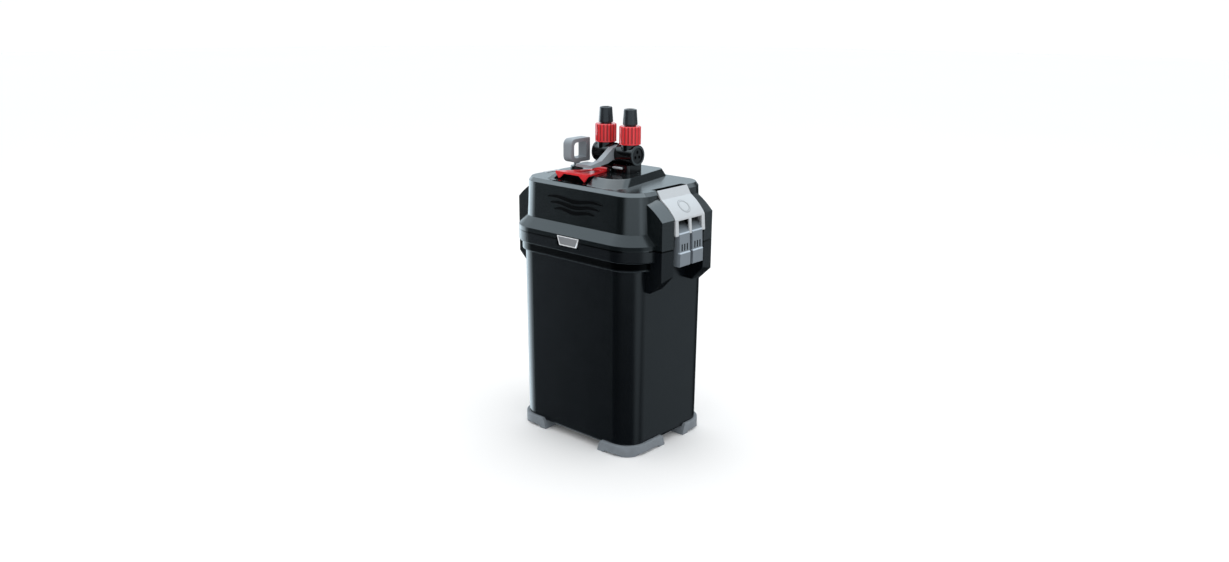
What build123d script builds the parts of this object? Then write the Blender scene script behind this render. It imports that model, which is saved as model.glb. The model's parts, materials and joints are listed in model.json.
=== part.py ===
from build123d import *
import math
import os

# Canister filter. Millimetres, +Z up, -Y is the front, +X and -X are the latch sides.
# The tank's middle is on the Z axis. Heights in this drawing are from a datum FLOOR_Z under the floor,
# and the last lines move every piece down by FLOOR_Z, so that the filter stands on z = 0.

FLOOR_Z = 5.0
GAP = 0.3                      # clearance between pieces of different bodies
RUNNING_FIT = 0.05             # radial clearance of a pin in its bore

# ---- tank -------------------------------------------------------------------
TANK_BASE_Z = 14.5
TANK_BOTTOM = (94.7, 74.5)     # half width and half depth at the base
TANK_SPREAD = 1.6              # how far each wall leans out by the rim step
TANK_CORNER = 27.0
TANK_FLOOR = 3.0
TANK_WALL = 3.0
STEP_Z = 241.0
STEP_HALF = (103.0, 79.0)
STEP_CORNER = 35.0
FLANGE_Z = 252.5
FLANGE_HALF = (109.9, 82.1)
FLANGE_CORNER = 42.0
SPLIT_Z = 266.6                # top of the tank's rim
RIM_POCKET_Z = 244.0
RIM_POCKET_HALF = (98.5, 74.5)
RIM_POCKET_CORNER = 29.0

# ---- feet -------------------------------------------------------------------
FOOT_TOP_Z = FLOOR_Z + 14.0
FOOT_BAND_Z = FLOOR_Z + 2.5
FOOT_PROUD = 4.0
FOOT_LEG = 50.0                # along the front and the back
FOOT_SIDE_LEG = (66.0, 48.0)   # along the sides: a front foot's, then a rear foot's
FOOT_WIDTH = 19.0
FOOT_END_PAD = 8.0
FOOT_CORNER_PAD = (4.0, 24.0)  # the corner pad's inset from the foot's outer faces, and its far side
FOOT_LEAN = 3.0
FOOT_TIP = 3.0                 # height of the bevel at a leg's end

# ---- head cover -------------------------------------------------------------
HEAD_Z = SPLIT_Z + GAP
HEAD_WALL = 3.0
FLARE_Z = 272.8
NECK_Z = 284.5
FLARE_IN = 11.4                # how far the flare steps in from the rim
NECK_HALF = (FLANGE_HALF[0] - FLARE_IN, FLANGE_HALF[1] - FLARE_IN)
NECK_CORNER = FLANGE_CORNER - FLARE_IN
SHOULDER_Z = 328.8
HEAD_LEAN = 2.1                # how far the head's sides lean in
ROOF_Z = 333.3
ROOF_IN = 3.3
DECK_Z = 342.0
DECK_FOOT = [(-64, -61), (62, -61), (38, 64), (-38, 64), (-64, 24)]
DECK_TOP = [(-58, -46), (54, -46), (33, 61), (-33, 61), (-58, 20)]
DECK_ROUNDS = [16, 20, 12, 12, 12]

EJECT_Y, EJECT_Z, EJECT_PIN_R = -9.0, 345.0, 1.2
SCREWS = [(82, -55), (82, 55), (-82, -55), (-82, 55)]
SCREW_R = 1.6
SCREW_HEAD_R = 3.4
SCREW_TIP_Z = 283.0
GLAND_X, GLAND_Z, GLAND_R = 45.0, 303.0, 6.0
BADGE_Y = (-81.9, -80.6)
BADGE_OUTLINE = [(-14, 260.0), (14, 260.0), (18, 271.6), (-18, 271.6)]
BADGE_SEAT_HALF = 18.6
BADGE_SEAT_Z = (259.4, 272.0)
WAVES = [(300.5, 34.0), (307.5, 41.0), (314.5, 46.0)]    # each ribbon's height and half length
WAVE_RISE = 1.5
WAVE_HALF_THICK = 2.2
WAVE_PROUD = 0.6
RECESS_X = (-46, 11)           # the finger recess in front of the release lever
RECESS_Y = (-66, -43)

# ---- latch wings and clamps -------------------------------------------------
# Each wing is drawn as two (x, z) outlines, beside the clamp and at the wing's outer face.
WING_Y = (28.8, 48.5)
WING_X = (122.2, 119.4)
WING_ROUND = 1.2
WING_ROOT_X = 93.5
LOWER_WING_TIP = [(105.5, 216.5), (102.5, 213.5)]
LOWER_WING_FOOT_Z = (234.5, 229.5)
SLOPE_FOOT_Z = (302.5, 301.5)
SLOPE_MIDDLE = [(112.2, 313.4), (108.2, 311.8)]
SLOPE_TOP = [(97.0, 324.2), (96.0, 320.0)]
PIVOT_X, PIVOT_Z = 98.0, 317.0
PIN_REACH = 7.0                # how far the clamp's pin goes into each wing
POCKET_R = 17.1
POCKET_WALL = 2.4
POCKET_SLOT = (85.5, 330.5)    # the gap behind the plate's lip: its inner x and its floor
PLATE_HALF = 28.2
PLATE_THICK = 2.0
PLATE_LIP = (94.7, 333.4)      # the plate's top edge
PLATE_CENTRE = (63.9, 263.5)   # the centre and radius of its bowed part
PLATE_R = 70.3
PLATE_ARC = (58.1, 33.5)       # where that part starts and ends, in degrees above +X
PLATE_FOOT = (124.0, 282.6)
MARK_R = 8.6                   # the raised ring on the plate
WINDOW_Z = 300.4
WINDOW_Y = (2.25, 22.5)
EAR_Y = 25.2
EAR_OUTLINE = [(113.4, 284), (122.6, 284), (121.4, 301), (116.6, 300), (113.4, 294)]
WEB_OUTLINE = [(96, 314), (106, 311.5), (112, 311.8), (106.5, 317.6), (100, 321.6), (94.6, 322)]
KNUCKLE_R = 5.6
CLAMP_PIN_R = 1.8
CATCH_X, CATCH_Z = 117.0, 289.0
CATCH_PIN_R = 1.5
CATCH_BARREL_R = 3.7
FINGER_Y = (2.65, 22.1)
FINGER_FOOT_Z = 244.6
FINGER_FACE = [(126.3, 244.6), (126.3, 260.9), (125.2, 262.2), (125.0, 272.7), (124.4, 284.6), (114.6, 298.6)]
FINGER_BACK = [(112.4, 298.6), (112.4, 287.0), (117.0, 282.0), (117.0, 268.0)]
FINGER_SLOT_X = 122.4
FINGER_SLOT_Z = (263.6, 272.0)
FINGER_SLOT_WIDTH = 2.4
FINGER_SLOT_PITCH = 5.0
HOOK_BEVEL = [(107.0, FLANGE_Z), (109.9, 262.6)]
HOOK_Z = (264.0, 249.5)
HOOK_GAP = 0.4

# ---- valve block ------------------------------------------------------------
VALVE_Y, VALVE_Z = 9.0, 363.6
PORT_X = 20.0
BARREL_R = 12.5
CAP_R = 13.0
BARREL_BORE = 10.0
BARREL_END = 29.6
BARREL_START = 4.6
CAP_END = 33.2
CAP_FACE_R = 9.4
CAP_HOLE_R = 2.0
PASSAGE_R = 5.5
SPIGOT_R = 9.2
SPIGOT_Z = 321.0
SOCKET_R = 9.7
NECK_TOP_Z = 394.0
NECK_R = 10.0
NUT_R = 13.4
NUT_Z = (376.9, 399.0)
NUT_FLUTES = 18
CONE_Z = (400.5, 419.6)
HOSE_BORE_R = 5.0

# ---- release lever ----------------------------------------------------------
LEVER_OUTLINE = [(-44, -57), (9, -57), (3, -30), (-0.7, -14), (-0.7, -9),
                 (-19.3, -9), (-19.3, -14), (-25, -30)]
LEVER_Z = (342.4, 344.6)
LEVER_EARS = [[(-44, 344.6), (-44, 342), (-38, 335.6), (-30, 342.4)],
              [(9, 344.6), (9, 342), (4, 335.6), (-5, 342.4)]]
LEVER_EAR_Y = (-57, -54.8)
LEVER_DISH = [(-21, -46), (-8, -46), (-9, -20), (-16, -20)]

# ---- primer -----------------------------------------------------------------
PRIMER_X, PRIMER_Y = -49.5, -13.0
HANDLE_OUTER = [(-30, 350.5), (4, 350.5), (4, 380), (-30, 380)]
HANDLE_INNER = [(-25, 355.5), (-2.5, 355.5), (-2.5, 375.4), (-25, 375.4)]
HANDLE_HALF_WIDTH = 7.0
ROD_R = 4.0
CYLINDER_BORE = 13.0
CYLINDER_R = 15.5

# ---- pump -------------------------------------------------------------------
PUMP_X, PUMP_Y = 52.0, -8.0
SHAFT_R = 1.5
ROTOR_R = 8.8
CAN_BORE = 9.6
CAN_R = 11.4
IMPELLER_R = 16.0
CHAMBER_R = 18.0

# ---- head base --------------------------------------------------------------
BASE_HALF = (106.6, 78.8)
BASE_CORNER = 38.7
BASE_TOP_Z = 271.0
SKIRT_HALF = (97.7, 73.7)
SKIRT_CORNER = 28.2
SKIRT_Z = 244.6
SKIRT_WALL = 3.0
SEAL_GROOVE_Z = (252.0, 257.0)
SEAL_DEPTH = 1.6
SEAL_PROUD = 0.4
PORT_PIPE_R = 9.2              # the two pipes from the head base up to the valve
PORT_BORE_R = 7.0
PORT_PIPE_TOP_Z = 317.0

# ---- motor ------------------------------------------------------------------
CORE_X = (34, 88)
CORE_HALF_Y = 20
CORE_Z = (277, 293)
COIL_X = (71, 91.5)
COIL_HALF_Y = 10.5
COIL_Z = (273, 296)
COVER_X = (31, 94)
COVER_HALF_Y = 23
COVER_TOP_Z = 303.5
COVER_WALL = 2.0
COVER_GAP = 0.4                # between the motor cover and the clamp pocket's wall

# ---- filter media -----------------------------------------------------------
MEDIA_Z = TANK_BASE_Z + TANK_FLOOR + 0.6
BASKET_HEIGHT = 73.0
BASKET_PITCH = 73.6
BASKET_X = (-49.0, 88.0)
BASKET_Y = 66.0
BASKET_CORNER = 22.0
BASKET_WALL = 2.0
BASKET_FLOOR = 2.4
SLOT_START = (-31.0, -48.0)    # the first floor slot's middle, in x and y
SLOT_PITCH = (25.2, 24.0)
SLOT_HALF = (9.0, 8.0)
SLOT_COUNT = 5
FOAM_X = (-88.0, -52.0)
FOAM_TOP_Z = 240.0


def block(x, y, z):
    """A box from three (low, high) pairs."""
    size = [high - low for low, high in (x, y, z)]
    middle = [(high + low) / 2 for low, high in (x, y, z)]
    return Pos(*middle) * Box(*size)


def post(x, y, radius, low, high):
    """An upright cylinder."""
    return Pos(x, y, (low + high) / 2) * Cylinder(radius, high - low)


def bar_x(y, z, radius, low, high):
    """A cylinder that lies along X."""
    return Pos((low + high) / 2, y, z) * Rot(0, 90, 0) * Cylinder(radius, high - low)


def bar_y(x, z, radius, low, high):
    """A cylinder that lies along Y."""
    return Pos(x, (low + high) / 2, z) * Rot(90, 0, 0) * Cylinder(radius, high - low)


def prism_y(points, low, high):
    """An outline of (x, z) points, drawn out from y = low to y = high."""
    outline = Plane.XZ.offset(-high) * make_face(Polyline(*points, close=True))
    return extrude(outline, amount=high - low)


def prism_x(points, low, high):
    """An outline of (y, z) points, drawn out from x = low to x = high."""
    outline = Plane.YZ.offset(low) * make_face(Polyline(*points, close=True))
    return extrude(outline, amount=high - low)


def rounded(half, corner, z):
    """A rounded rectangle centred on the Z axis."""
    return Plane.XY.offset(z) * RectangleRounded(2 * half[0], 2 * half[1], corner)


def straight(half, corner, low, high):
    """An upright rounded block centred on the Z axis."""
    return extrude(rounded(half, corner, low), amount=high - low)


def drafted(half, corner, low, high, spread):
    """A rounded block whose walls lean out by `spread` from its low face to its high one."""
    lean = math.degrees(math.atan2(spread, high - low))
    return extrude(rounded(half, corner, low), amount=high - low, taper=-lean)


def inset(half, amount):
    """A half size, drawn in on both sides."""
    return (half[0] - amount, half[1] - amount)


def other_side(piece):
    """The same piece on the -X side."""
    return mirror(piece, about=Plane.YZ)


def prism_z(points, low, high):
    """An outline of (x, y) points, drawn up from z = low to z = high."""
    outline = Plane.XY.offset(low) * make_face(Polyline(*points, close=True))
    return extrude(outline, amount=high - low)


def wing_pair(outlines):
    """Two upright ribs beside the clamp, on the +X side, from an inner and an outer (x, z) outline."""
    ribs = []
    for side in (-1, 1):
        sections = [Plane.XZ.offset(-side * y) * face for y, face in zip(WING_Y, outlines)]
        rib = loft(sections, ruled=True)
        outer = rib.faces().filter_by(GeomType.PLANE).sort_by(lambda face: face.center().X)[-1]
        ribs.append(fillet(outer.edges().filter_by(Axis.Z), WING_ROUND))
    return ribs[0] + ribs[1]


def lower_wings():
    """The tank's two ribs beside the +X clamp."""
    outlines = []
    for x, tip, foot_z in zip(WING_X, LOWER_WING_TIP, LOWER_WING_FOOT_Z):
        points = [(WING_ROOT_X, tip[1]), tip, (x, foot_z), (x, SPLIT_Z), (WING_ROOT_X, SPLIT_Z)]
        outlines.append(make_face(Polyline(*points, close=True)))
    return wing_pair(outlines)


# ---- tank and feet ----------------------------------------------------------
def tank_envelope():
    """The outside of the tank's tapered wall."""
    return drafted(TANK_BOTTOM, TANK_CORNER, TANK_BASE_Z, STEP_Z, TANK_SPREAD)


def canister_shell():
    wall = tank_envelope()
    wall = fillet(wall.edges().group_by(Axis.Z)[0], 4.0)
    step = straight(STEP_HALF, STEP_CORNER, STEP_Z, FLANGE_Z)
    step = chamfer(step.edges().group_by(Axis.Z)[0], 1.5)
    flange = straight(FLANGE_HALF, FLANGE_CORNER, FLANGE_Z, SPLIT_Z)
    flange = fillet(flange.edges().group_by(Axis.Z)[0], 1.6)
    (low_x, low_z), (high_x, high_z) = HOOK_BEVEL
    past = high_x + 2
    bevel = [(low_x, low_z - 1), (low_x, low_z), (high_x, high_z), (past, high_z), (past, low_z - 1)]
    notch = prism_y(bevel, -WING_Y[0], WING_Y[0])
    rim = step + flange - notch - other_side(notch)
    wings = lower_wings()
    shell = wall + rim + wings + other_side(wings)
    cavity = drafted(inset(TANK_BOTTOM, TANK_WALL), TANK_CORNER - TANK_WALL, TANK_BASE_Z + TANK_FLOOR,
                     RIM_POCKET_Z, TANK_SPREAD)
    pocket = straight(RIM_POCKET_HALF, RIM_POCKET_CORNER, RIM_POCKET_Z, SPLIT_Z + 1)
    badge_back = BADGE_Y[1] + GAP
    badge_seat = block((-BADGE_SEAT_HALF, BADGE_SEAT_HALF), (-83, badge_back), (BADGE_SEAT_Z[0], SPLIT_Z + 1))
    return shell - cavity - pocket - badge_seat


def corner_foot(side_leg):
    """The foot under the +X, -Y corner."""
    half = (TANK_BOTTOM[0] + FOOT_PROUD, TANK_BOTTOM[1] + FOOT_PROUD)
    under = FLOOR_Z - 1
    band = straight(half, TANK_CORNER + FOOT_PROUD, FLOOR_Z, FOOT_TOP_Z)
    band = chamfer(band.edges().group_by(Axis.Z)[-1], 1.2)
    inner = straight(inset(half, FOOT_WIDTH), TANK_CORNER + FOOT_PROUD - FOOT_WIDTH, under, FOOT_TOP_Z + 1)
    seat = straight(inset(TANK_BOTTOM, -0.02), TANK_CORNER, TANK_BASE_Z, FOOT_TOP_Z + 1)
    end_x = half[0] - FOOT_LEG
    end_y = side_leg - half[1]
    far = 200
    bevel_z = FOOT_TOP_Z - FOOT_TIP
    along_x = [(end_x - FOOT_LEAN, FLOOR_Z), (far, FLOOR_Z), (far, FOOT_TOP_Z),
               (end_x + FOOT_LEAN, FOOT_TOP_Z), (end_x, bevel_z)]
    along_y = [(end_y + FOOT_LEAN, FLOOR_Z), (-far, FLOOR_Z), (-far, FOOT_TOP_Z),
               (end_y - FOOT_LEAN, FOOT_TOP_Z), (end_y, bevel_z)]
    keep = prism_y(along_x, -far, end_y + FOOT_LEAN) & prism_x(along_y, 0, far)
    lift = block((end_x + FOOT_END_PAD, far), (-far, end_y - FOOT_END_PAD), (under, FOOT_BAND_Z))
    near, across = FOOT_CORNER_PAD
    pad_x, pad_y = (half[0] - across, half[0] - near), (near - half[1], across - half[1])
    lift -= block(pad_x, pad_y, (under, FOOT_BAND_Z + 1))
    return (band - inner - seat) & keep - lift


# ---- head -------------------------------------------------------------------
def head_envelope(inward=0.0):
    """The head's outer form, or the same form drawn in by a wall."""
    neck_half = inset(NECK_HALF, inward)
    neck_corner = NECK_CORNER - inward
    low = HEAD_Z - 1 if inward else HEAD_Z
    rim = straight(inset(FLANGE_HALF, inward), FLANGE_CORNER - inward, low, FLARE_Z)
    flare = drafted(inset(FLANGE_HALF, inward), FLANGE_CORNER - inward, FLARE_Z, NECK_Z, -FLARE_IN)
    side = drafted(neck_half, neck_corner, NECK_Z, SHOULDER_Z - inward, -HEAD_LEAN)
    if inward:
        return rim + flare + side
    shoulder = drafted(inset(NECK_HALF, HEAD_LEAN), NECK_CORNER - HEAD_LEAN, SHOULDER_Z, ROOF_Z, -ROOF_IN)
    return rim + flare + side + shoulder


def deck_section(points, z, inward=0.0):
    """The deck's outline at one height."""
    line = FilletPolyline(*points, radius=DECK_ROUNDS, close=True)
    face = make_face(line)
    if inward:
        face = offset(face, amount=-inward)
    return Plane.XY.offset(z) * face


def deck():
    """The raised deck that carries the valve, drawn out from under the roof."""
    skirt = extrude(deck_section(DECK_FOOT, ROOF_Z - 2.5), amount=2.5)
    slope = loft([deck_section(DECK_FOOT, ROOF_Z), deck_section(DECK_TOP, DECK_Z)], ruled=True)
    return skirt + slope


def upper_wings():
    """The head's two ribs beside the +X clamp, with their bowed slopes."""
    outlines = []
    for x, foot_z, middle, top in zip(WING_X, SLOPE_FOOT_Z, SLOPE_MIDDLE, SLOPE_TOP):
        slope = ThreePointArc((x, foot_z), middle, top)
        root = [(WING_ROOT_X, top[1]), (WING_ROOT_X, HEAD_Z), (x, HEAD_Z)]
        outlines.append(make_face(slope + Polyline(top, *root, (x, foot_z))))
    return wing_pair(outlines)


def head_cover():
    outer = head_envelope() + deck()
    hollow = head_envelope(HEAD_WALL)
    deck_hollow = extrude(Plane.XY.offset(SHOULDER_Z - HEAD_WALL - 1) * make_face(
        Polyline((-42, -36), (46, -36), (26, 56), (-26, 56), (-42, 16), close=True)), amount=14)
    shell = outer - hollow - deck_hollow
    wings = upper_wings() - hollow
    shell += wings + other_side(wings)
    # clamp pockets, each with its own wall inside the head
    reach = WING_Y[0] + POCKET_WALL
    housing = bar_y(PIVOT_X, PIVOT_Z, POCKET_R + POCKET_WALL, -reach, reach)
    housing &= head_envelope() - block((92, 130), (-60, 60), (200, 400))
    pocket = bar_y(PIVOT_X, PIVOT_Z, POCKET_R, -WING_Y[0], WING_Y[0])
    pocket += block((POCKET_SLOT[0], PIVOT_X), (-WING_Y[0], WING_Y[0]), (POCKET_SLOT[1], ROOF_Z + 1))
    pin_end = WING_Y[0] + PIN_REACH + 1
    pocket += bar_y(PIVOT_X, PIVOT_Z, CLAMP_PIN_R + RUNNING_FIT, -pin_end, pin_end)
    shell += housing + other_side(housing)
    shell -= pocket + other_side(pocket)
    # valve sockets
    for x in (-PORT_X, PORT_X):
        shell += post(x, VALVE_Y, SOCKET_R + 3, 318, DECK_Z)
        shell -= post(x, VALVE_Y, SOCKET_R, 317, DECK_Z + 1)
    # primer guide, finger recess under the eject lever, hinge ears for that lever
    shell += post(PRIMER_X, PRIMER_Y, 8, 331, DECK_Z + 3)
    shell -= post(PRIMER_X, PRIMER_Y, ROD_R + GAP, 320, DECK_Z + 4)
    shell -= block(RECESS_X, RECESS_Y, (ROOF_Z + 0.8, DECK_Z + 1))
    for low, high in ((-24.0, -20.4), (0.4, 4.0)):
        ear = block((low, high), (-11.6, -6.6), (DECK_Z - 1, 347.6))
        shell += ear - bar_x(EJECT_Y, EJECT_Z, EJECT_PIN_R, low - 1, high + 1)
    # screw posts
    for x, y in SCREWS:
        boss = post(x, y, 5, BASE_TOP_Z + 0.05, SHOULDER_Z - 1)
        shell += boss - post(x, y, SCREW_R, BASE_TOP_Z - 1, SCREW_TIP_Z + 1)
    shell -= block((-BADGE_SEAT_HALF, BADGE_SEAT_HALF), (-83, BADGE_Y[1]), (HEAD_Z - 1, BADGE_SEAT_Z[1]))
    shell -= bar_y(GLAND_X, GLAND_Z, GLAND_R, 60, 80)
    return shell


def badge():
    """A blank trapezoid plate on the front of the rim."""
    return prism_y(BADGE_OUTLINE, *BADGE_Y)


def front_inlay():
    """Three raised wave ribbons on the front of the head."""
    side = drafted(NECK_HALF, NECK_CORNER, NECK_Z, SHOULDER_Z, -HEAD_LEAN)
    skin_half = inset(NECK_HALF, -WAVE_PROUD)
    skin = drafted(skin_half, NECK_CORNER + WAVE_PROUD, NECK_Z, SHOULDER_Z, -HEAD_LEAN) - side
    ribbons = []
    for level, half_length in WAVES:
        upper = []
        lower = []
        steps = 24
        for step in range(steps + 1):
            share = step / steps
            x = -half_length + 2 * half_length * share
            thick = WAVE_HALF_THICK * math.sin(math.pi * share) ** 0.5 + 0.15
            wave = WAVE_RISE * math.sin(3 * math.pi * share)
            upper.append((x, level + wave + thick))
            lower.append((x, level + wave - thick))
        edge = Spline(*upper) + Line(upper[-1], lower[-1])
        edge += Spline(*lower[::-1]) + Line(lower[0], upper[0])
        ribbons.append(extrude(Plane.XZ.offset(60) * make_face(edge), amount=20) & skin)
    return ribbons


def seal_core():
    """The skirt as it is inside the seal's groove."""
    low, high = SEAL_GROOVE_Z
    return straight(inset(SKIRT_HALF, SEAL_DEPTH), SKIRT_CORNER - SEAL_DEPTH, low - 1, high + 1)


def head_base():
    plate = straight(BASE_HALF, BASE_CORNER, HEAD_Z, BASE_TOP_Z)
    skirt = straight(SKIRT_HALF, SKIRT_CORNER, SKIRT_Z, HEAD_Z)
    skirt -= straight(inset(SKIRT_HALF, SKIRT_WALL), SKIRT_CORNER - SKIRT_WALL, SKIRT_Z - 1, HEAD_Z)
    groove = straight(inset(SKIRT_HALF, -1), SKIRT_CORNER + 1, *SEAL_GROOVE_Z)
    groove -= seal_core()
    base = plate + skirt - groove
    # pump chamber below the floor, rotor can above it
    base += post(PUMP_X, PUMP_Y, CHAMBER_R + 2.4, 255, HEAD_Z)
    base += post(PUMP_X, PUMP_Y, CAN_R, BASE_TOP_Z, 301)
    base += post(PORT_X, VALVE_Y, PORT_PIPE_R, 257, BASE_TOP_Z)
    base += prism_z([(14, 1), (30, 17), (50, 10), (44, -22)], 257, HEAD_Z)
    base -= prism_z([(22, 4), (24, 13), (48, 6), (44, -16)], 259, HEAD_Z - 2)
    base -= post(PUMP_X, PUMP_Y, CHAMBER_R, 254, 268.6)
    base -= post(PUMP_X, PUMP_Y, CAN_BORE, 268, 298.6)
    for x in (-PORT_X, PORT_X):
        base += post(x, VALVE_Y, PORT_PIPE_R, BASE_TOP_Z, PORT_PIPE_TOP_Z)
        base -= post(x, VALVE_Y, PORT_BORE_R, 262, PORT_PIPE_TOP_Z + 1)
    base -= post(-PORT_X, VALVE_Y, PORT_BORE_R, 250, PORT_PIPE_TOP_Z + 1)
    for x, y in SCREWS:
        base -= post(x, y, SCREW_R, HEAD_Z - 1, BASE_TOP_Z + 1)
    return base


def head_seal():
    """The square-section ring in the skirt's groove."""
    low, high = SEAL_GROOVE_Z
    ring = straight(inset(SKIRT_HALF, -SEAL_PROUD), SKIRT_CORNER + SEAL_PROUD, low + GAP, high - GAP)
    return ring - seal_core()


def cover_screws():
    """Pan-head screws that hold the head base to the cover."""
    screws = []
    for x, y in SCREWS:
        head = post(x, y, SCREW_HEAD_R, HEAD_Z - 2.5, HEAD_Z)
        head -= Pos(x, y, HEAD_Z - 2.5) * Box(4.6, 1.0, 1.6)
        screws.append(head + post(x, y, SCREW_R, HEAD_Z, SCREW_TIP_Z))
    return screws


def cable_gland():
    """A stepped rubber bush in the back of the head, open for the lead."""
    bush = bar_y(GLAND_X, GLAND_Z, GLAND_R, 64, 70.4)
    bush += bar_y(GLAND_X, GLAND_Z, 8.5, 70.4, 72.4)
    bush += Pos(GLAND_X, 77, GLAND_Z) * Rot(-90, 0, 0) * Cone(7.0, 5.0, 10)
    return bush - bar_y(GLAND_X, GLAND_Z, 3.4, 60, 90)


# ---- motor and pump ---------------------------------------------------------
def stator_core():
    """The laminated iron core, with a window that the coil passes through."""
    core = block(CORE_X, (PUMP_Y - CORE_HALF_Y, PUMP_Y + CORE_HALF_Y), CORE_Z)
    core -= block((66, 78), (PUMP_Y - 11, PUMP_Y + 11), (270, 300))
    return core - post(PUMP_X, PUMP_Y, CAN_R + 0.2, 270, 300)


def motor_coil():
    """The winding round the core's outer limb."""
    coil = block(COIL_X, (PUMP_Y - COIL_HALF_Y, PUMP_Y + COIL_HALF_Y), COIL_Z)
    return coil - block((78, CORE_X[1]), (PUMP_Y - CORE_HALF_Y, PUMP_Y + CORE_HALF_Y), CORE_Z)


def motor_cover():
    """A thin box over the motor, hollowed on its outer corner to pass under the clamp's pocket."""
    outer_r = POCKET_R + POCKET_WALL + COVER_GAP
    outer_y = (PUMP_Y - COVER_HALF_Y, PUMP_Y + COVER_HALF_Y)
    outer = block(COVER_X, outer_y, (BASE_TOP_Z, COVER_TOP_Z))
    outer -= bar_y(PIVOT_X, PIVOT_Z, outer_r, -60, 60)
    inner_x = (COVER_X[0] + COVER_WALL, COVER_X[1] - 1.6)
    inner_y = (outer_y[0] + COVER_WALL, outer_y[1] - COVER_WALL)
    inner = block(inner_x, inner_y, (BASE_TOP_Z - 1, COVER_TOP_Z - COVER_WALL))
    inner -= bar_y(PIVOT_X, PIVOT_Z, outer_r + 1.4, -60, 60)
    return outer - inner


def pump_cover():
    disc = post(PUMP_X, PUMP_Y, CHAMBER_R + 2.4, 252.4, 255)
    disc -= post(PUMP_X, PUMP_Y, 8.0, 250, 260)
    disc += block((PUMP_X - 9, PUMP_X + 9), (PUMP_Y - 1.2, PUMP_Y + 1.2), (252.4, 255))
    disc += block((PUMP_X - 1.2, PUMP_X + 1.2), (PUMP_Y - 9, PUMP_Y + 9), (252.4, 255))
    disc += post(PUMP_X, PUMP_Y, 3.2, 252.4, 257.2)
    return disc - post(PUMP_X, PUMP_Y, SHAFT_R, 250, 260)


def pump_shaft():
    return post(PUMP_X, PUMP_Y, SHAFT_R, 253.0, 298.2)


def shaft_bush():
    bush = post(PUMP_X, PUMP_Y, CAN_BORE - RUNNING_FIT, 295.6, 298.6)
    return bush - post(PUMP_X, PUMP_Y, SHAFT_R, 295, 298.2)


def rotor_magnet():
    rotor = post(PUMP_X, PUMP_Y, ROTOR_R, 270.4, 294.4)
    return rotor - post(PUMP_X, PUMP_Y, SHAFT_R + RUNNING_FIT, 260, 300)


def impeller():
    hub = post(PUMP_X, PUMP_Y, 5.0, 258, 270.4)
    disc = post(PUMP_X, PUMP_Y, IMPELLER_R, 265.6, 267.4)
    wheel = hub + disc
    for turn in range(6):
        blade = Pos(10.2, 0, 262.2) * Rot(0, 0, 22) * Box(11.5, 1.4, 7.2)
        wheel += Pos(PUMP_X, PUMP_Y, 0) * Rot(0, 0, 60 * turn) * blade
    return wheel - post(PUMP_X, PUMP_Y, SHAFT_R + RUNNING_FIT, 250, 300)


# ---- clamps -----------------------------------------------------------------
def plate_point(radius, angle):
    """An (x, z) point at an angle on an arc about the plate's centre."""
    turn = math.radians(angle)
    return (PLATE_CENTRE[0] + radius * math.cos(turn), PLATE_CENTRE[1] + radius * math.sin(turn))


def plate_arc(radius):
    """The plate's bowed line at a radius: its start, middle and end."""
    start, end = PLATE_ARC
    return [plate_point(radius, angle) for angle in (start, (start + end) / 2, end)]


def plate_outline():
    """The plate from the side: a lip, a bowed stretch and a nearly straight foot."""
    outer = plate_arc(PLATE_R)
    inner = plate_arc(PLATE_R - PLATE_THICK)
    lip_back = (PLATE_LIP[0] - 1.7, PLATE_LIP[1] - 1.05)
    foot = [PLATE_FOOT, (PLATE_FOOT[0] - PLATE_THICK, PLATE_FOOT[1])]
    edges = ThreePointArc(*outer) + Polyline(outer[2], *foot, inner[2])
    return edges + ThreePointArc(*inner[::-1]) + Polyline(inner[0], lip_back, PLATE_LIP, outer[0])


def plate_mark():
    """The raised ring on the bowed stretch."""
    middle = sum(PLATE_ARC) / 2
    x, z = plate_point(PLATE_R, middle)
    ring = Pos(x, 0, z) * Rot(0, 90 - middle, 0) * (Cylinder(MARK_R, 6) - Cylinder(MARK_R - 1, 7))
    skin = bar_y(*PLATE_CENTRE, PLATE_R + 0.4, -10, 10) - bar_y(*PLATE_CENTRE, PLATE_R - 0.5, -11, 11)
    return ring & skin


def clamp_plate():
    """The bright plate that swings up from the head on the +X side."""
    plate = extrude(Plane.XZ.offset(-PLATE_HALF) * make_face(plate_outline()), amount=2 * PLATE_HALF)
    for side in (-1, 1):
        window = sorted((side * WINDOW_Y[0], side * WINDOW_Y[1]))
        plate -= block((CATCH_X, PLATE_FOOT[0] + 1), window, (PLATE_FOOT[1] - 1, WINDOW_Z))
        ear_y = sorted((side * EAR_Y, side * PLATE_HALF))
        plate += prism_y(EAR_OUTLINE, *ear_y) + prism_y(WEB_OUTLINE, *ear_y)
    plate += plate_mark()
    plate += bar_y(PIVOT_X, PIVOT_Z, KNUCKLE_R, -PLATE_HALF, PLATE_HALF)
    plate -= bar_y(PIVOT_X, PIVOT_Z, CLAMP_PIN_R, -PLATE_HALF - 1, PLATE_HALF + 1)
    return plate - bar_y(CATCH_X, CATCH_Z, CATCH_PIN_R, -PLATE_HALF - 1, PLATE_HALF + 1)


def clamp_pin():
    return bar_y(PIVOT_X, PIVOT_Z, CLAMP_PIN_R, -WING_Y[0] - PIN_REACH, WING_Y[0] + PIN_REACH)


def hook_point(z):
    """A point of the hook's face: the rim's bevel with the hook's clearance."""
    (x0, z0), (x1, z1) = HOOK_BEVEL
    return (x0 + HOOK_GAP + (z - z0) * (x1 - x0) / (z1 - z0), z)


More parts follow.
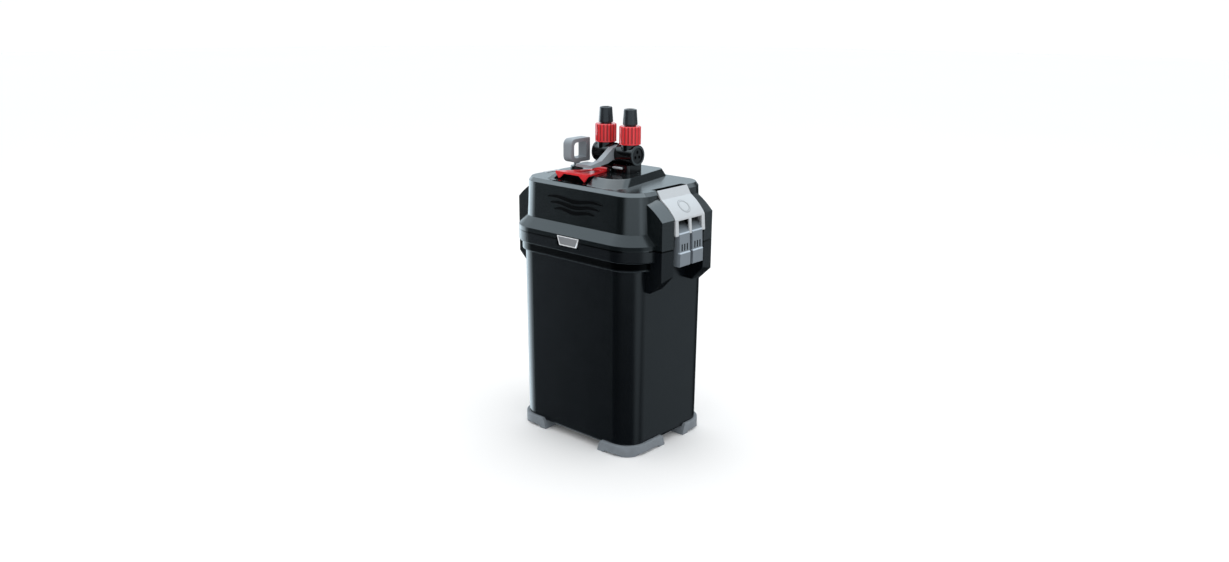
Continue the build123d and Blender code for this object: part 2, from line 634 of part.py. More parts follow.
def finger_catch():
    """Two grey fingers on one barrel, each with a hook under the tank's rim."""
    outline = FINGER_FACE + FINGER_BACK + [hook_point(z) for z in HOOK_Z] + [(110.5, FINGER_FOOT_Z)]
    catch = bar_y(CATCH_X, CATCH_Z, CATCH_BARREL_R, -FINGER_Y[1], FINGER_Y[1])
    for side in (-1, 1):
        low, high = sorted((side * FINGER_Y[0], side * FINGER_Y[1]))
        finger = prism_y(outline, low, high)
        toe = finger.edges().filter_by(Axis.Y).group_by(Axis.Z)[0].sort_by(Axis.X)[-1:]
        finger = fillet(toe, 1.5)
        middle = (low + high) / 2
        for place in (-1, 0, 1):
            slot_middle = middle + FINGER_SLOT_PITCH * place
            slot_y = (slot_middle - FINGER_SLOT_WIDTH / 2, slot_middle + FINGER_SLOT_WIDTH / 2)
            finger -= block((FINGER_SLOT_X, FINGER_SLOT_X + 5), slot_y, FINGER_SLOT_Z)
        catch += finger
    return catch - bar_y(CATCH_X, CATCH_Z, CATCH_PIN_R + RUNNING_FIT, -PLATE_HALF, PLATE_HALF)


def catch_pin():
    return bar_y(CATCH_X, CATCH_Z, CATCH_PIN_R, -PLATE_HALF, PLATE_HALF)


def catch_spring():
    """The torsion spring's turns at both ends of the barrel."""
    turns = []
    for side in (-1, 1):
        for place in (22.8, 23.7, 24.6):
            turns.append(Pos(CATCH_X, side * place, CATCH_Z) * Rot(90, 0, 0) * Torus(2.3, 0.4))
    return turns


# ---- valve block ------------------------------------------------------------
def valve_body():
    body = block((-29.3, 29.3), (-4.5, 22.5), (DECK_Z + GAP, 352))
    body = fillet(body.edges().filter_by(Axis.Z), 4)
    for side in (-1, 1):
        low, high = sorted((side * BARREL_START, side * BARREL_END))
        body += bar_x(VALVE_Y, VALVE_Z, BARREL_R, low, high)
        body += post(side * PORT_X, VALVE_Y, SPIGOT_R, SPIGOT_Z, 345)
        body += post(side * PORT_X, VALVE_Y, 11.4, 366, 376)
        body += post(side * PORT_X, VALVE_Y, NECK_R, 376, NECK_TOP_Z)
    body += block((-8, 8), (19.6, 23.6), (350, 374))
    slot = bar_x(VALVE_Y, VALVE_Z, 10.6, -BARREL_START, BARREL_START)
    body -= slot + block((-BARREL_START, BARREL_START), (-6, VALVE_Y), (352.8 - 3.5, 366))
    body -= bar_x(VALVE_Y, VALVE_Z, 4.6, -8, 8)
    for side in (-1, 1):
        low, high = sorted((side * 7.0, side * (BARREL_END + 1)))
        body -= bar_x(VALVE_Y, VALVE_Z, BARREL_BORE, low, high)
        body -= post(side * PORT_X, VALVE_Y, PASSAGE_R, SPIGOT_Z - 1, NECK_TOP_Z + 1)
        low, high = sorted((side * BARREL_END, side * 34))
        body -= bar_x(VALVE_Y, VALVE_Z, CAP_R, low, high)
        groove = post(side * PORT_X, VALVE_Y, SPIGOT_R + 1, 325, 327.4)
        body -= groove - post(side * PORT_X, VALVE_Y, 7.9, 324, 328)
        for level in range(5):
            ring = post(side * PORT_X, VALVE_Y, NECK_R + 1, 379 + 2.8 * level, 380 + 2.8 * level)
            body -= ring - post(side * PORT_X, VALVE_Y, NECK_R - 0.6, 378, 395)
    return body


def port_seals():
    seals = []
    for side in (-1, 1):
        seals.append(Pos(side * PORT_X, VALVE_Y, 326.2) * Torus(8.65, 0.72))
    return seals


def barrel_cap():
    """The stepped bezel on the +X end of the barrels, with three blind holes in its face."""
    cap = bar_x(VALVE_Y, VALVE_Z, CAP_R, BARREL_END, CAP_END)
    cap = fillet(cap.edges().group_by(Axis.X)[-1], 1.2)
    cap -= bar_x(VALVE_Y, VALVE_Z, CAP_FACE_R, CAP_END - 1.2, CAP_END + 1)
    for turn in range(3):
        angle = math.radians(90 + 120 * turn)
        hole_y = VALVE_Y + 4.2 * math.cos(angle)
        hole_z = VALVE_Z + 4.2 * math.sin(angle)
        cap -= bar_x(hole_y, hole_z, CAP_HOLE_R, 29.8, CAP_END)
    return cap + bar_x(VALVE_Y, VALVE_Z, BARREL_BORE - 0.02, 28.6, BARREL_END)


def valve_plug():
    """The rotary plug in the +X barrel, with its passage upright at rest."""
    plug = bar_x(VALVE_Y, VALVE_Z, BARREL_BORE - 0.3, 7.4, 28.2)
    plug -= post(PORT_X, VALVE_Y, PASSAGE_R, 340, 390)
    return plug - bar_x(VALVE_Y, VALVE_Z, 4.2, 7, 11)


def shutoff_lever():
    """The grey lever: a hub between the barrels, an arm and a flat thumb plate."""
    lever = bar_x(VALVE_Y, VALVE_Z, 10.0, -4.1, 4.1)
    arm = [(9, 373.4), (-4.4, 371.7), (-25.5, 357.7), (-45.3, 354.5), (-45.3, 351.0), (-31.8, 351.7),
           (-13.6, 353.5), (-3.4, 357.3), (9, 354)]
    lever += prism_x(arm, -4.1, 4.1)
    plate = block((-21, 4.1), (-45.3, -25), (351.2, 354.6))
    plate = fillet(plate.edges().filter_by(Axis.Z), 2.0)
    lever += plate
    lever += bar_x(VALVE_Y, VALVE_Z, 4.2, -11, 11)
    return lever


def lock_nut():
    """The ribbed nut on the +X neck."""
    nut = post(PORT_X, VALVE_Y, NUT_R, *NUT_Z)
    nut = chamfer(nut.edges().group_by(Axis.Z)[-1], 1.0)
    nut -= post(PORT_X, VALVE_Y, NECK_R + 0.4, NUT_Z[0] - 1, 396.4)
    nut -= post(PORT_X, VALVE_Y, 7.6, 390, 400)
    for index in range(NUT_FLUTES):
        angle = 2 * math.pi * index / NUT_FLUTES
        x = PORT_X + (NUT_R + 0.5) * math.cos(angle)
        y = VALVE_Y + (NUT_R + 0.5) * math.sin(angle)
        nut -= post(x, y, 1.3, NUT_Z[0] + 1.2, NUT_Z[1] + 1)
    return nut


def hose_connector():
    """The tapered connector on the +X port."""
    flange = post(PORT_X, VALVE_Y, NECK_R, NECK_TOP_Z, 396.0)
    neck = post(PORT_X, VALVE_Y, 7.2, 396.0, CONE_Z[0])
    cone = Pos(PORT_X, VALVE_Y, sum(CONE_Z) / 2) * Cone(9.2, 7.8, CONE_Z[1] - CONE_Z[0])
    cone = fillet(cone.edges().group_by(Axis.Z)[-1], 1.4)
    cone = fillet(cone.edges().group_by(Axis.Z)[0], 1.0)
    return flange + neck + cone - post(PORT_X, VALVE_Y, HOSE_BORE_R, NECK_TOP_Z - 1, 421)


# ---- eject lever and primer -------------------------------------------------
def eject_lever():
    """The red release lever: a tapered plate with two downturned ears at its front."""
    lever = prism_z(LEVER_OUTLINE, *LEVER_Z) + bar_x(EJECT_Y, EJECT_Z, 2.5, -19.7, -0.3)
    for ear in LEVER_EARS:
        lever += prism_y(ear, *LEVER_EAR_Y)
    lever -= prism_z(LEVER_DISH, LEVER_Z[1] - 0.8, LEVER_Z[1] + 1)
    return lever - bar_x(EJECT_Y, EJECT_Z, EJECT_PIN_R + RUNNING_FIT, -30, 10)


def eject_pin():
    return bar_x(EJECT_Y, EJECT_Z, EJECT_PIN_R, -24.0, 4.0)


def primer_handle():
    """The D-shaped pull handle."""
    outer_line = FilletPolyline(*HANDLE_OUTER, radius=[8, 2, 1.5, 8], close=True)
    inner_line = FilletPolyline(*HANDLE_INNER, radius=[5, 1.5, 1.5, 5], close=True)
    side = Plane.YZ.offset(PRIMER_X - HANDLE_HALF_WIDTH)
    handle = make_face(outer_line) - make_face(inner_line)
    return extrude(side * handle, amount=2 * HANDLE_HALF_WIDTH)


def primer_rod():
    return post(PRIMER_X, PRIMER_Y, ROD_R, 284, 350.5)


def primer_piston():
    piston = post(PRIMER_X, PRIMER_Y, 12.5, 277, 284)
    groove = post(PRIMER_X, PRIMER_Y, 14, 279, 281.6)
    return piston - (groove - post(PRIMER_X, PRIMER_Y, 11.0, 278, 283))


def piston_seal():
    return Pos(PRIMER_X, PRIMER_Y, 280.3) * Torus(11.8, 0.8)


def primer_cylinder():
    tube = post(PRIMER_X, PRIMER_Y, CYLINDER_R, BASE_TOP_Z, 325.6)
    tube -= post(PRIMER_X, PRIMER_Y, CYLINDER_BORE, 273.4, 330)
    return tube - post(PRIMER_X, PRIMER_Y, 4, 270, 274)


# ---- media ------------------------------------------------------------------
def basket_section(x, half_y, corner, z):
    """A basket's plan outline: sharp beside the foam, round towards the tank's wall."""
    outline = [(x[0], -half_y), (x[1], -half_y), (x[1], half_y), (x[0], half_y)]
    line = FilletPolyline(*outline, radius=[3, corner, corner, 3], close=True)
    return Plane.XY.offset(z) * make_face(line)


def slot_cuts(low):
    """The grid of slots through a basket's floor or its cover."""
    cuts = []
    for row in range(SLOT_COUNT):
        y = SLOT_START[1] + SLOT_PITCH[1] * row
        for column in range(SLOT_COUNT):
            x = SLOT_START[0] + SLOT_PITCH[0] * column
            cuts.append(block((x - SLOT_HALF[0], x + SLOT_HALF[0]), (y - SLOT_HALF[1], y + SLOT_HALF[1]),
                              (low - 1, low + 4)))
    return cuts


def media_basket(level):
    """One open tray with a slotted floor and a stacking step."""
    low = MEDIA_Z + BASKET_PITCH * level
    high = low + BASKET_HEIGHT
    tray = extrude(basket_section(BASKET_X, BASKET_Y, BASKET_CORNER, low), amount=BASKET_HEIGHT)
    inner_x = (BASKET_X[0] + BASKET_WALL, BASKET_X[1] - BASKET_WALL)
    inner = basket_section(inner_x, BASKET_Y - BASKET_WALL, BASKET_CORNER - BASKET_WALL, low + BASKET_FLOOR)
    tray -= extrude(inner, amount=BASKET_HEIGHT)
    tray -= slot_cuts(low)
    for side in (-1, 1):
        tray -= block((0, 40), sorted((side * 60, side * 70)), (high - 12, high + 1))
    return tray


def media_fill(level, depth):
    """The space that one basket's media fills."""
    low = MEDIA_Z + BASKET_PITCH * level + 2.6
    inner_x = (BASKET_X[0] + BASKET_WALL + 0.5, BASKET_X[1] - BASKET_WALL - 0.5)
    section = basket_section(inner_x, BASKET_Y - BASKET_WALL - 0.5, BASKET_CORNER - BASKET_WALL - 0.5, low)
    return extrude(section, amount=depth)


def basket_cover():
    low = MEDIA_Z + BASKET_PITCH * 2 + BASKET_HEIGHT
    cover = extrude(basket_section(BASKET_X, BASKET_Y, BASKET_CORNER, low), amount=1.8)
    return cover - slot_cuts(low)


def foam_frame():
    """The frame that holds the two foam pads upright beside the baskets."""
    outline = [(FOAM_X[0], -BASKET_Y), (FOAM_X[1], -BASKET_Y), (FOAM_X[1], BASKET_Y), (FOAM_X[0], BASKET_Y)]
    line = FilletPolyline(*outline, radius=[BASKET_CORNER, 3, 3, BASKET_CORNER], close=True)
    frame = extrude(Plane.XY.offset(MEDIA_Z) * make_face(line), amount=FOAM_TOP_Z - MEDIA_Z)
    frame -= block((-78, -50), (-62, 62), (MEDIA_Z + 4, FOAM_TOP_Z - 6))
    frame -= block((-95, -80), (-70, 70), (MEDIA_Z + 4, FOAM_TOP_Z - 14))
    frame -= block((-82, -76), (-56, 56), (MEDIA_Z + 10, FOAM_TOP_Z - 20))
    return frame


def foam_pad(x):
    return block(x, (-61.6, 61.6), (MEDIA_Z + 4.4, FOAM_TOP_Z - 6.4))


def build():
    """Every node, by name."""
    foot = corner_foot(FOOT_SIDE_LEG[0])
    rear_foot = mirror(corner_foot(FOOT_SIDE_LEG[1]), about=Plane.XZ)
    parts = {
        "canister_shell": canister_shell(),
        "foot_front_right": foot,
        "foot_front_left": other_side(foot),
        "foot_rear_right": rear_foot,
        "foot_rear_left": other_side(rear_foot),
        "head_cover": head_cover(),
        "head_base": head_base(),
        "head_seal": head_seal(),
        "cover_screws": cover_screws(),
        "cable_gland": cable_gland(),
        "badge": badge(),
        "front_inlay": front_inlay(),
        "stator_core": stator_core(),
        "motor_coil": motor_coil(),
        "motor_cover": motor_cover(),
        "pump_cover": pump_cover(),
        "pump_shaft": pump_shaft(),
        "shaft_bush": shaft_bush(),
        "rotor_magnet": rotor_magnet(),
        "impeller": impeller(),
        "valve_body": valve_body(),
        "port_seals": port_seals(),
        "outlet_barrel_cap": barrel_cap(),
        "inlet_barrel_cap": other_side(barrel_cap()),
        "outlet_plug": valve_plug(),
        "inlet_plug": other_side(valve_plug()),
        "shutoff_lever": shutoff_lever(),
        "outlet_nut": lock_nut(),
        "inlet_nut": other_side(lock_nut()),
        "outlet_connector": hose_connector(),
        "inlet_connector": other_side(hose_connector()),
        "eject_lever": eject_lever(),
        "eject_pin": eject_pin(),
        "primer_handle": primer_handle(),
        "primer_rod": primer_rod(),
        "primer_piston": primer_piston(),
        "piston_seal": piston_seal(),
        "primer_cylinder": primer_cylinder(),
        "foam_frame": foam_frame(),
        "foam_pad_outer": foam_pad((-77.4, -65.2)),
        "foam_pad_inner": foam_pad((-64.8, -52.4)),
        "basket_cover": basket_cover(),
        "ceramic_rings": media_fill(0, 60),
        "filter_granules": media_fill(1, 58),
        "polishing_pad": media_fill(2, 50),
    }
    for level, name in enumerate(("lower", "middle", "upper")):
        parts["basket_" + name] = media_basket(level)
    clamp = {
        "clamp_plate": clamp_plate(),
        "clamp_pin": clamp_pin(),
        "finger_catch": finger_catch(),
        "catch_pin": catch_pin(),
        "catch_spring": catch_spring(),
    }
    for name, piece in clamp.items():
        pieces = piece if isinstance(piece, list) else [piece]
        parts["right_" + name] = pieces
        parts["left_" + name] = [other_side(solid) for solid in pieces]
    return parts


def solids_of(piece):
    """All the solids of a piece, a list or a compound."""
    if isinstance(piece, list):
        return [solid for item in piece for solid in item.solids()]
    return piece.solids()


os.makedirs("parts", exist_ok=True)
for node, piece in build().items():
    solids = solids_of(piece)
    placed = [Pos(0, 0, -FLOOR_Z) * solid for solid in solids]
    shape = placed[0] if len(placed) == 1 else Compound(children=placed)
    export_step(shape, "parts/" + node + ".step")
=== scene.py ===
import json
import math
import random

import bmesh
import bpy
from mathutils import Matrix, Vector, noise


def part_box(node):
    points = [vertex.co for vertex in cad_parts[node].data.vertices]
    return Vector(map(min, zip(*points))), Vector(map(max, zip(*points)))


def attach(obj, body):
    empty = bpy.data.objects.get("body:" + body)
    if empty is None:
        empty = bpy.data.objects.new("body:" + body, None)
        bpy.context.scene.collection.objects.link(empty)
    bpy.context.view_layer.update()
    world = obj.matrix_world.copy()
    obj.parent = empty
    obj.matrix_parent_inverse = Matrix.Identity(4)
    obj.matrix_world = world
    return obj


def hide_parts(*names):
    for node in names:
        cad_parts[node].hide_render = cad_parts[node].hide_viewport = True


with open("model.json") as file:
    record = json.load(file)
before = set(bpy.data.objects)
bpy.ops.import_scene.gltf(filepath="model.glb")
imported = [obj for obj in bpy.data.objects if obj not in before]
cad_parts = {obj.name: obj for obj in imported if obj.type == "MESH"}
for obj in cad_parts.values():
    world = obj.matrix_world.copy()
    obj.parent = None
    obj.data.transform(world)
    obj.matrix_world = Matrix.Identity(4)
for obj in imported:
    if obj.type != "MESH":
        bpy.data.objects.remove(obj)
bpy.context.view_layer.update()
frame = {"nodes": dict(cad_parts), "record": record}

# Canister filter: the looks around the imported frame. Metres, +Z up, -Y is the front.

nodes = frame["nodes"]
MM = 0.001
TINY = 1e-6

# The camera: degrees, metres, millimetres.
AZIMUTH, ELEVATION, ROLL = 41.35, 16.01, 0.36
EYE = Vector((0.8396, -0.9496, 0.5580))
SENSOR, LENS = 36.0, 30.05

# The light on every surface, and its tint.
AMBIENT, AMBIENT_TINT = 1.02, (0.985, 0.995, 1.0, 1)

# What glossy surfaces reflect: a ceiling, and walls and lamps on a dark surround. Each has its azimuth and
# elevation in degrees, the cosines of the angles where it starts and where it is full, and its strength.
GLOSS_TINT, SURROUND = (0.76, 0.91, 1.0, 1), 0.025
CEILING, CEILING_RISE = 2.65, (0.28, 0.64)
BACK_WALL = (165, 0, 0.42, 0.85, 1.15)
RIM_LAMP = (183, -10, 0.83, 0.97, 2.6)
SIDE_LAMP = (50, -8, 0.86, 0.985, 0.50)
STRIP_LAMP = (4, -5, 0.88, 0.98, 0.9)
FRONT_LAMP, FRONT_LAMP_FOOT = (-48, -4, 0.62, 0.90, 1.2), (-0.215, -0.15)

# Places on the casing, as (low, high) in metres.
POCKET_OUT, POCKET_HALF_WIDTH, POCKET_Z = 0.0845, 0.02895, (0.2375, 0.3278)
RIM_OUT, RIM_FRONT = 0.1065, 0.0785
SEAM_Z, UNDER_RIM_Z = (0.2608, 0.2627), (0.2388, 0.2474)
RIM_EDGE_Z, STEP_EDGE_Z = (0.2476, 0.2484), (0.2360, 0.2374)
BROW_Z, ROOF_EDGE_Z, DECK_SLOPE_Z = (0.2632, 0.2797), (0.3241, 0.3281), (0.3286, 0.3366)
WING_HALF_WIDTH = (0.0486, 0.0492)

# Places on a finger catch.
SCOOP_Z, SCOOP_RISE = (0.2800, 0.3), (0.2806, 0.2925)
SLOTS_Z, SLOTS_OUT, SLOTS_Y = (0.25855, 0.26705), (0.1218, 0.1246), (0.0035, 0.0213)
RIDGE_Z, LEDGE_Z, FINGER_FACE = (0.2790, 0.2806), (0.2557, 0.2573), 0.1225

# The valve: the necks' places, the height of the barrels, and radii on the nuts and the caps.
NECK_X, VALVE_Y, BARREL_Z = 0.020, 0.009, 0.3586
NUT_Z, FLUTE_RADII, NUT_CORE_RADII = (0.3725, 0.3930), (0.0124, 0.01335), (0.0116, 0.0118)
CAP_RIM_RADII, CAP_OUT = (0.0098, 0.0122), 0.0326

# The raised ring on each clamp plate: its place in X and Z, and the radii of the dark lines outside and
# inside it.
CLAMP_RING = (0.1129, 0.3089)
RING_DARK_OUTSIDE, RING_DARK_INSIDE = (0.0087, 0.0094), (0.0069, 0.0075)

# Colours that the masks paint (dust, painted edge highlights, a painted roof highlight, the caps' grey
# rims), and how much of the gloss is left under the painted shade and on the duller slopes.
DUST, EDGE_HIGHLIGHT, ROOF_HIGHLIGHT = (0.42, 0.43, 0.44), (0.026, 0.033, 0.038), (0.060, 0.069, 0.074)
CAP_RIM = (0.040, 0.050, 0.055)
SHADE_AND_SEAM_SHEEN, DULL_SHEEN, FULL_SHEEN = (0.05, 0.05, 0.05), (0.48, 0.48, 0.48), (1, 1, 1)

# The media: a ceramic ring's radii and length, the room that it needs, and a granule's size and pitch.
CERAMIC_OUTER, CERAMIC_BORE, CERAMIC_LENGTH, CERAMIC_REACH = 5.2 * MM, 2.6 * MM, 10.6 * MM, 7.4 * MM
CERAMIC_COLUMNS, CERAMIC_ROWS, CERAMIC_LAYERS, CERAMIC_STRAY = 10, 9, 5, 1.1 * MM
GRANULE, GRANULE_ROOM, GRANULE_PITCH, GRANULE_STRAY = 2.0 * MM, 2.2 * MM, 3.1 * MM, 0.7 * MM
GRANULE_KINDS = 14
CERAMIC_CORNER, GRANULE_CORNER = 14 * MM, 16 * MM
CORE_INSET, CORE_CORNER, CORE_BELOW = 1.5 * MM, 19 * MM, 3.6 * MM

# The soft media: how rough each skin is, the fibre pad's layers, and its loose strands.
FOAM_SKIN, FIBRE_SKIN = 0.9 * MM, 1.2 * MM
PAD_LAYERS = ("polishing_pad_low", "polishing_pad_middle", "polishing_pad_top")
PAD_GAP, PAD_CORNER = 0.3 * MM, 18 * MM
STRANDS, STRAND_STEPS, STRAND_STEP, STRAND_DEPTH = 900, 7, 1.5 * MM, 1.1 * MM
STRAND_MARGIN, STRAND_CORNER_MARGIN = 12 * MM, 22 * MM

# The catch springs: the wire, the coil and where it starts beside the barrel.
WIRE_R, COIL_R, COIL_TURNS, COIL_STEPS = 0.3 * MM, 2.2 * MM, 3.25, 78
COIL_START, COIL_LENGTH = 22.75 * MM, 2.0 * MM

# The badge: how its foot compares with its head, its frame's width, and how far things stand out.
BADGE_TAPER, BADGE_RIM, BADGE_BEVEL = 0.778, 1.1 * MM, 0.16 * MM
FIELD_OUT, FRAME_OUT, BADGE_SUNK = 0.08 * MM, 0.18 * MM, 0.1 * MM

# The valve's index bar and the black sheets of painted shade in the finger recess, as low and high corners.
INDEX_BAR = (Vector((0.0055, -0.0076, 0.3420)), Vector((0.0205, -0.0044, 0.3446)))
INDEX_BAR_ROUND = 0.8 * MM
RECESS_SHADE_BOX = (Vector((-0.0457, -0.0657, 0.3294)), Vector((0.0107, -0.0433, 0.3362)))
SHADE_SHEET_WALL = 0.5 * MM


# ---- camera -------------------------------------------------------------------
def make_camera():
    """The camera at the reference picture's viewing angle."""
    az, el, roll = (math.radians(a) for a in (AZIMUTH, ELEVATION, ROLL))
    forward = Vector((-math.sin(az) * math.cos(el), math.cos(az) * math.cos(el), -math.sin(el)))
    side = Vector((math.cos(az), math.sin(az), 0))
    up = side.cross(forward)
    side, up = side * math.cos(roll) + up * math.sin(roll), up * math.cos(roll) - side * math.sin(roll)
    data = bpy.data.cameras.new("camera")
    data.sensor_width = SENSOR
    data.lens = LENS
    data.clip_start, data.clip_end = 0.05, 30
    camera = bpy.data.objects.new("camera", data)
    bpy.context.collection.objects.link(camera)
    turn = Matrix((side, up, -forward)).transposed()
    camera.matrix_world = Matrix.Translation(EYE) @ turn.to_4x4()
    bpy.context.scene.camera = camera


# ---- node helpers ----------------------------------------------------------------
class Shader:
    """A material's node tree, with short calls for the nodes that these materials share."""

    def __init__(self, name):
        self.material = bpy.data.materials.new(name)
        self.material.use_nodes = True
        self.tree = self.material.node_tree
        self.bsdf = self.tree.nodes["Principled BSDF"]
        self.coords = self.tree.nodes.new("ShaderNodeTexCoord").outputs["Object"]

    @classmethod
    def again(cls, material):
        """The same calls on a material that is already made."""
        made = cls.__new__(cls)
        made.material, made.tree = material, material.node_tree
        made.bsdf = made.tree.nodes["Principled BSDF"]
        made.coords = made.tree.nodes.new("ShaderNodeTexCoord").outputs["Object"]
        return made

    def add(self, kind, inputs=(), **settings):
        """A new node with its settings and its inputs, each a value or another node's output."""
        node = self.tree.nodes.new(kind)
        for key, value in settings.items():
            setattr(node, key, value)
        for key, value in dict(inputs).items():
            self.put(node.inputs[key], value)
        return node

    def put(self, socket, value):
        """Links an output to a socket, or sets the socket to a plain value."""
        if isinstance(value, bpy.types.NodeSocket):
            self.tree.links.new(value, socket)
        else:
            socket.default_value = value

    def scaled(self, scale):
        """Object coordinates stretched by a factor for each axis."""
        return self.add("ShaderNodeMapping", {"Vector": self.coords, "Scale": scale}).outputs["Vector"]

    def noise(self, scale, detail=2.0, rough=0.5, coords=None, distort=0.0):
        """Cloudy noise, about 0.5 in the middle."""
        inputs = {"Vector": coords or self.coords, "Scale": scale, "Detail": detail, "Roughness": rough,
                  "Distortion": distort}
        return self.add("ShaderNodeTexNoise", inputs).outputs["Fac"]

    def cells(self, scale):
        """The distance to the nearest of many scattered points."""
        return self.add("ShaderNodeTexVoronoi", {"Vector": self.coords, "Scale": scale}).outputs["Distance"]

    def remap(self, value, low, high, to_low, to_high):
        """A value carried from one range to another, and held at its ends."""
        inputs = {"Value": value, "From Min": low, "From Max": high, "To Min": to_low, "To Max": to_high}
        return self.add("ShaderNodeMapRange", inputs).outputs["Result"]

    def math(self, operation, a, b=0.0):
        """One sum on one or two values."""
        node = self.add("ShaderNodeMath", operation=operation)
        self.put(node.inputs[0], a)
        self.put(node.inputs[1], b)
        return node.outputs[0]

    def mix(self, factor, a, b):
        """A colour between two, each a plain colour or another node's output."""
        node = self.add("ShaderNodeMix", data_type="RGBA")
        self.put(node.inputs[0], factor)
        self.put(node.inputs[6], a if isinstance(a, bpy.types.NodeSocket) else (*a, 1))
        self.put(node.inputs[7], b if isinstance(b, bpy.types.NodeSocket) else (*b, 1))
        return node.outputs[2]

    def bump(self, height, distance, strength=1.0, under=None):
        """A normal from a height, on top of another normal if one is given."""
        inputs = {"Height": height, "Distance": distance, "Strength": strength}
        if under is not None:
            inputs["Normal"] = under
        return self.add("ShaderNodeBump", inputs).outputs["Normal"]

    def between(self, value, limits, soft=0.0002):
        """1 where a value lies between two limits, 0 elsewhere."""
        low, high = limits
        rise = self.remap(value, low - soft, low + soft, 0, 1)
        fall = self.remap(value, high - soft, high + soft, 1, 0)
        return self.math("MULTIPLY", rise, fall)

    def beyond(self, value, limit):
        """1 where a distance is over a limit."""
        return self.between(value, (limit, 1.0))

    def within(self, value, limit):
        """1 where a distance is under a limit."""
        return self.between(value, (-1.0, limit))

    def both(self, *masks):
        """1 where every mask is 1."""
        shared = masks[0]
        for mask in masks[1:]:
            shared = self.math("MULTIPLY", shared, mask)
        return shared

    def either(self, *masks):
        """1 where any mask is 1."""
        joined = masks[0]
        for mask in masks[1:]:
            joined = self.math("MAXIMUM", joined, mask)
        return joined

    def reach(self, *gaps):
        """The distance from a place, from its gaps along the axes."""
        total = self.math("MULTIPLY", gaps[0], gaps[0])
        for gap in gaps[1:]:
            total = self.math("ADD", total, self.math("MULTIPLY", gap, gap))
        return self.math("SQRT", total)

    def places(self):
        """The distance from the middle in X and in Y, and the height."""
        split = self.add("ShaderNodeSeparateXYZ", {"Vector": self.coords}).outputs
        return self.math("ABSOLUTE", split["X"]), self.math("ABSOLUTE", split["Y"]), split["Z"]

    def forward(self):
        """The place in Y, with its sign."""
        return self.add("ShaderNodeSeparateXYZ", {"Vector": self.coords}).outputs["Y"]

    def clear_of_wings(self):
        """1 on the casing's front, back and corners, 0 where the wings stand."""
        return self.remap(self.places()[1], *WING_HALF_WIDTH, 0, 1)

    def painted_shade_and_seam(self):
        """Painted shade in the hollow behind each clamp and in the band under the rim, with the dark line
        of the seam between tank and head.
        """
        across, along, height = self.places()
        behind = self.both(self.beyond(across, POCKET_OUT), self.within(along, POCKET_HALF_WIDTH))
        pocket = self.both(behind, self.between(height, POCKET_Z))
        rim = self.either(self.beyond(across, RIM_OUT), self.beyond(along, RIM_FRONT))
        seam = self.both(self.between(height, SEAM_Z), rim)
        under = self.both(self.between(height, UNDER_RIM_Z, 0.0003), self.clear_of_wings())
        return self.either(pocket, seam, under)

    def duller(self):
        """The deck's slopes and the brow above the rim, where the plastic is less glossy."""
        height = self.places()[2]
        brow = self.both(self.between(height, BROW_Z), self.clear_of_wings())
        return self.either(self.between(height, DECK_SLOPE_Z), brow)

    def painted_roof_highlight(self):
        """Painted highlight on the bevel round the head's roof, where it catches the light."""
        return self.both(self.between(self.places()[2], ROOF_EDGE_Z), self.clear_of_wings())

    def painted_edge_highlights(self):
        """Painted highlights: lighter lines along the rim's lower edge and the step's edge, where the edges
        catch the light.
        """
        height = self.places()[2]
        lines = self.either(self.between(height, RIM_EDGE_Z), self.between(height, STEP_EDGE_Z, 0.0004))
        return self.both(lines, self.clear_of_wings())

    def set(self, **values):
        """Sets the surface's own sockets by name."""
        for key, value in values.items():
            name = key.replace("_", " ")
            if isinstance(value, tuple) and len(value) == 3:
                value = (*value, 1)
            self.put(self.bsdf.inputs[name], value)


def tint(color, factor):
    """A colour made lighter or darker."""
    return tuple(min(1.0, channel * factor) for channel in color)


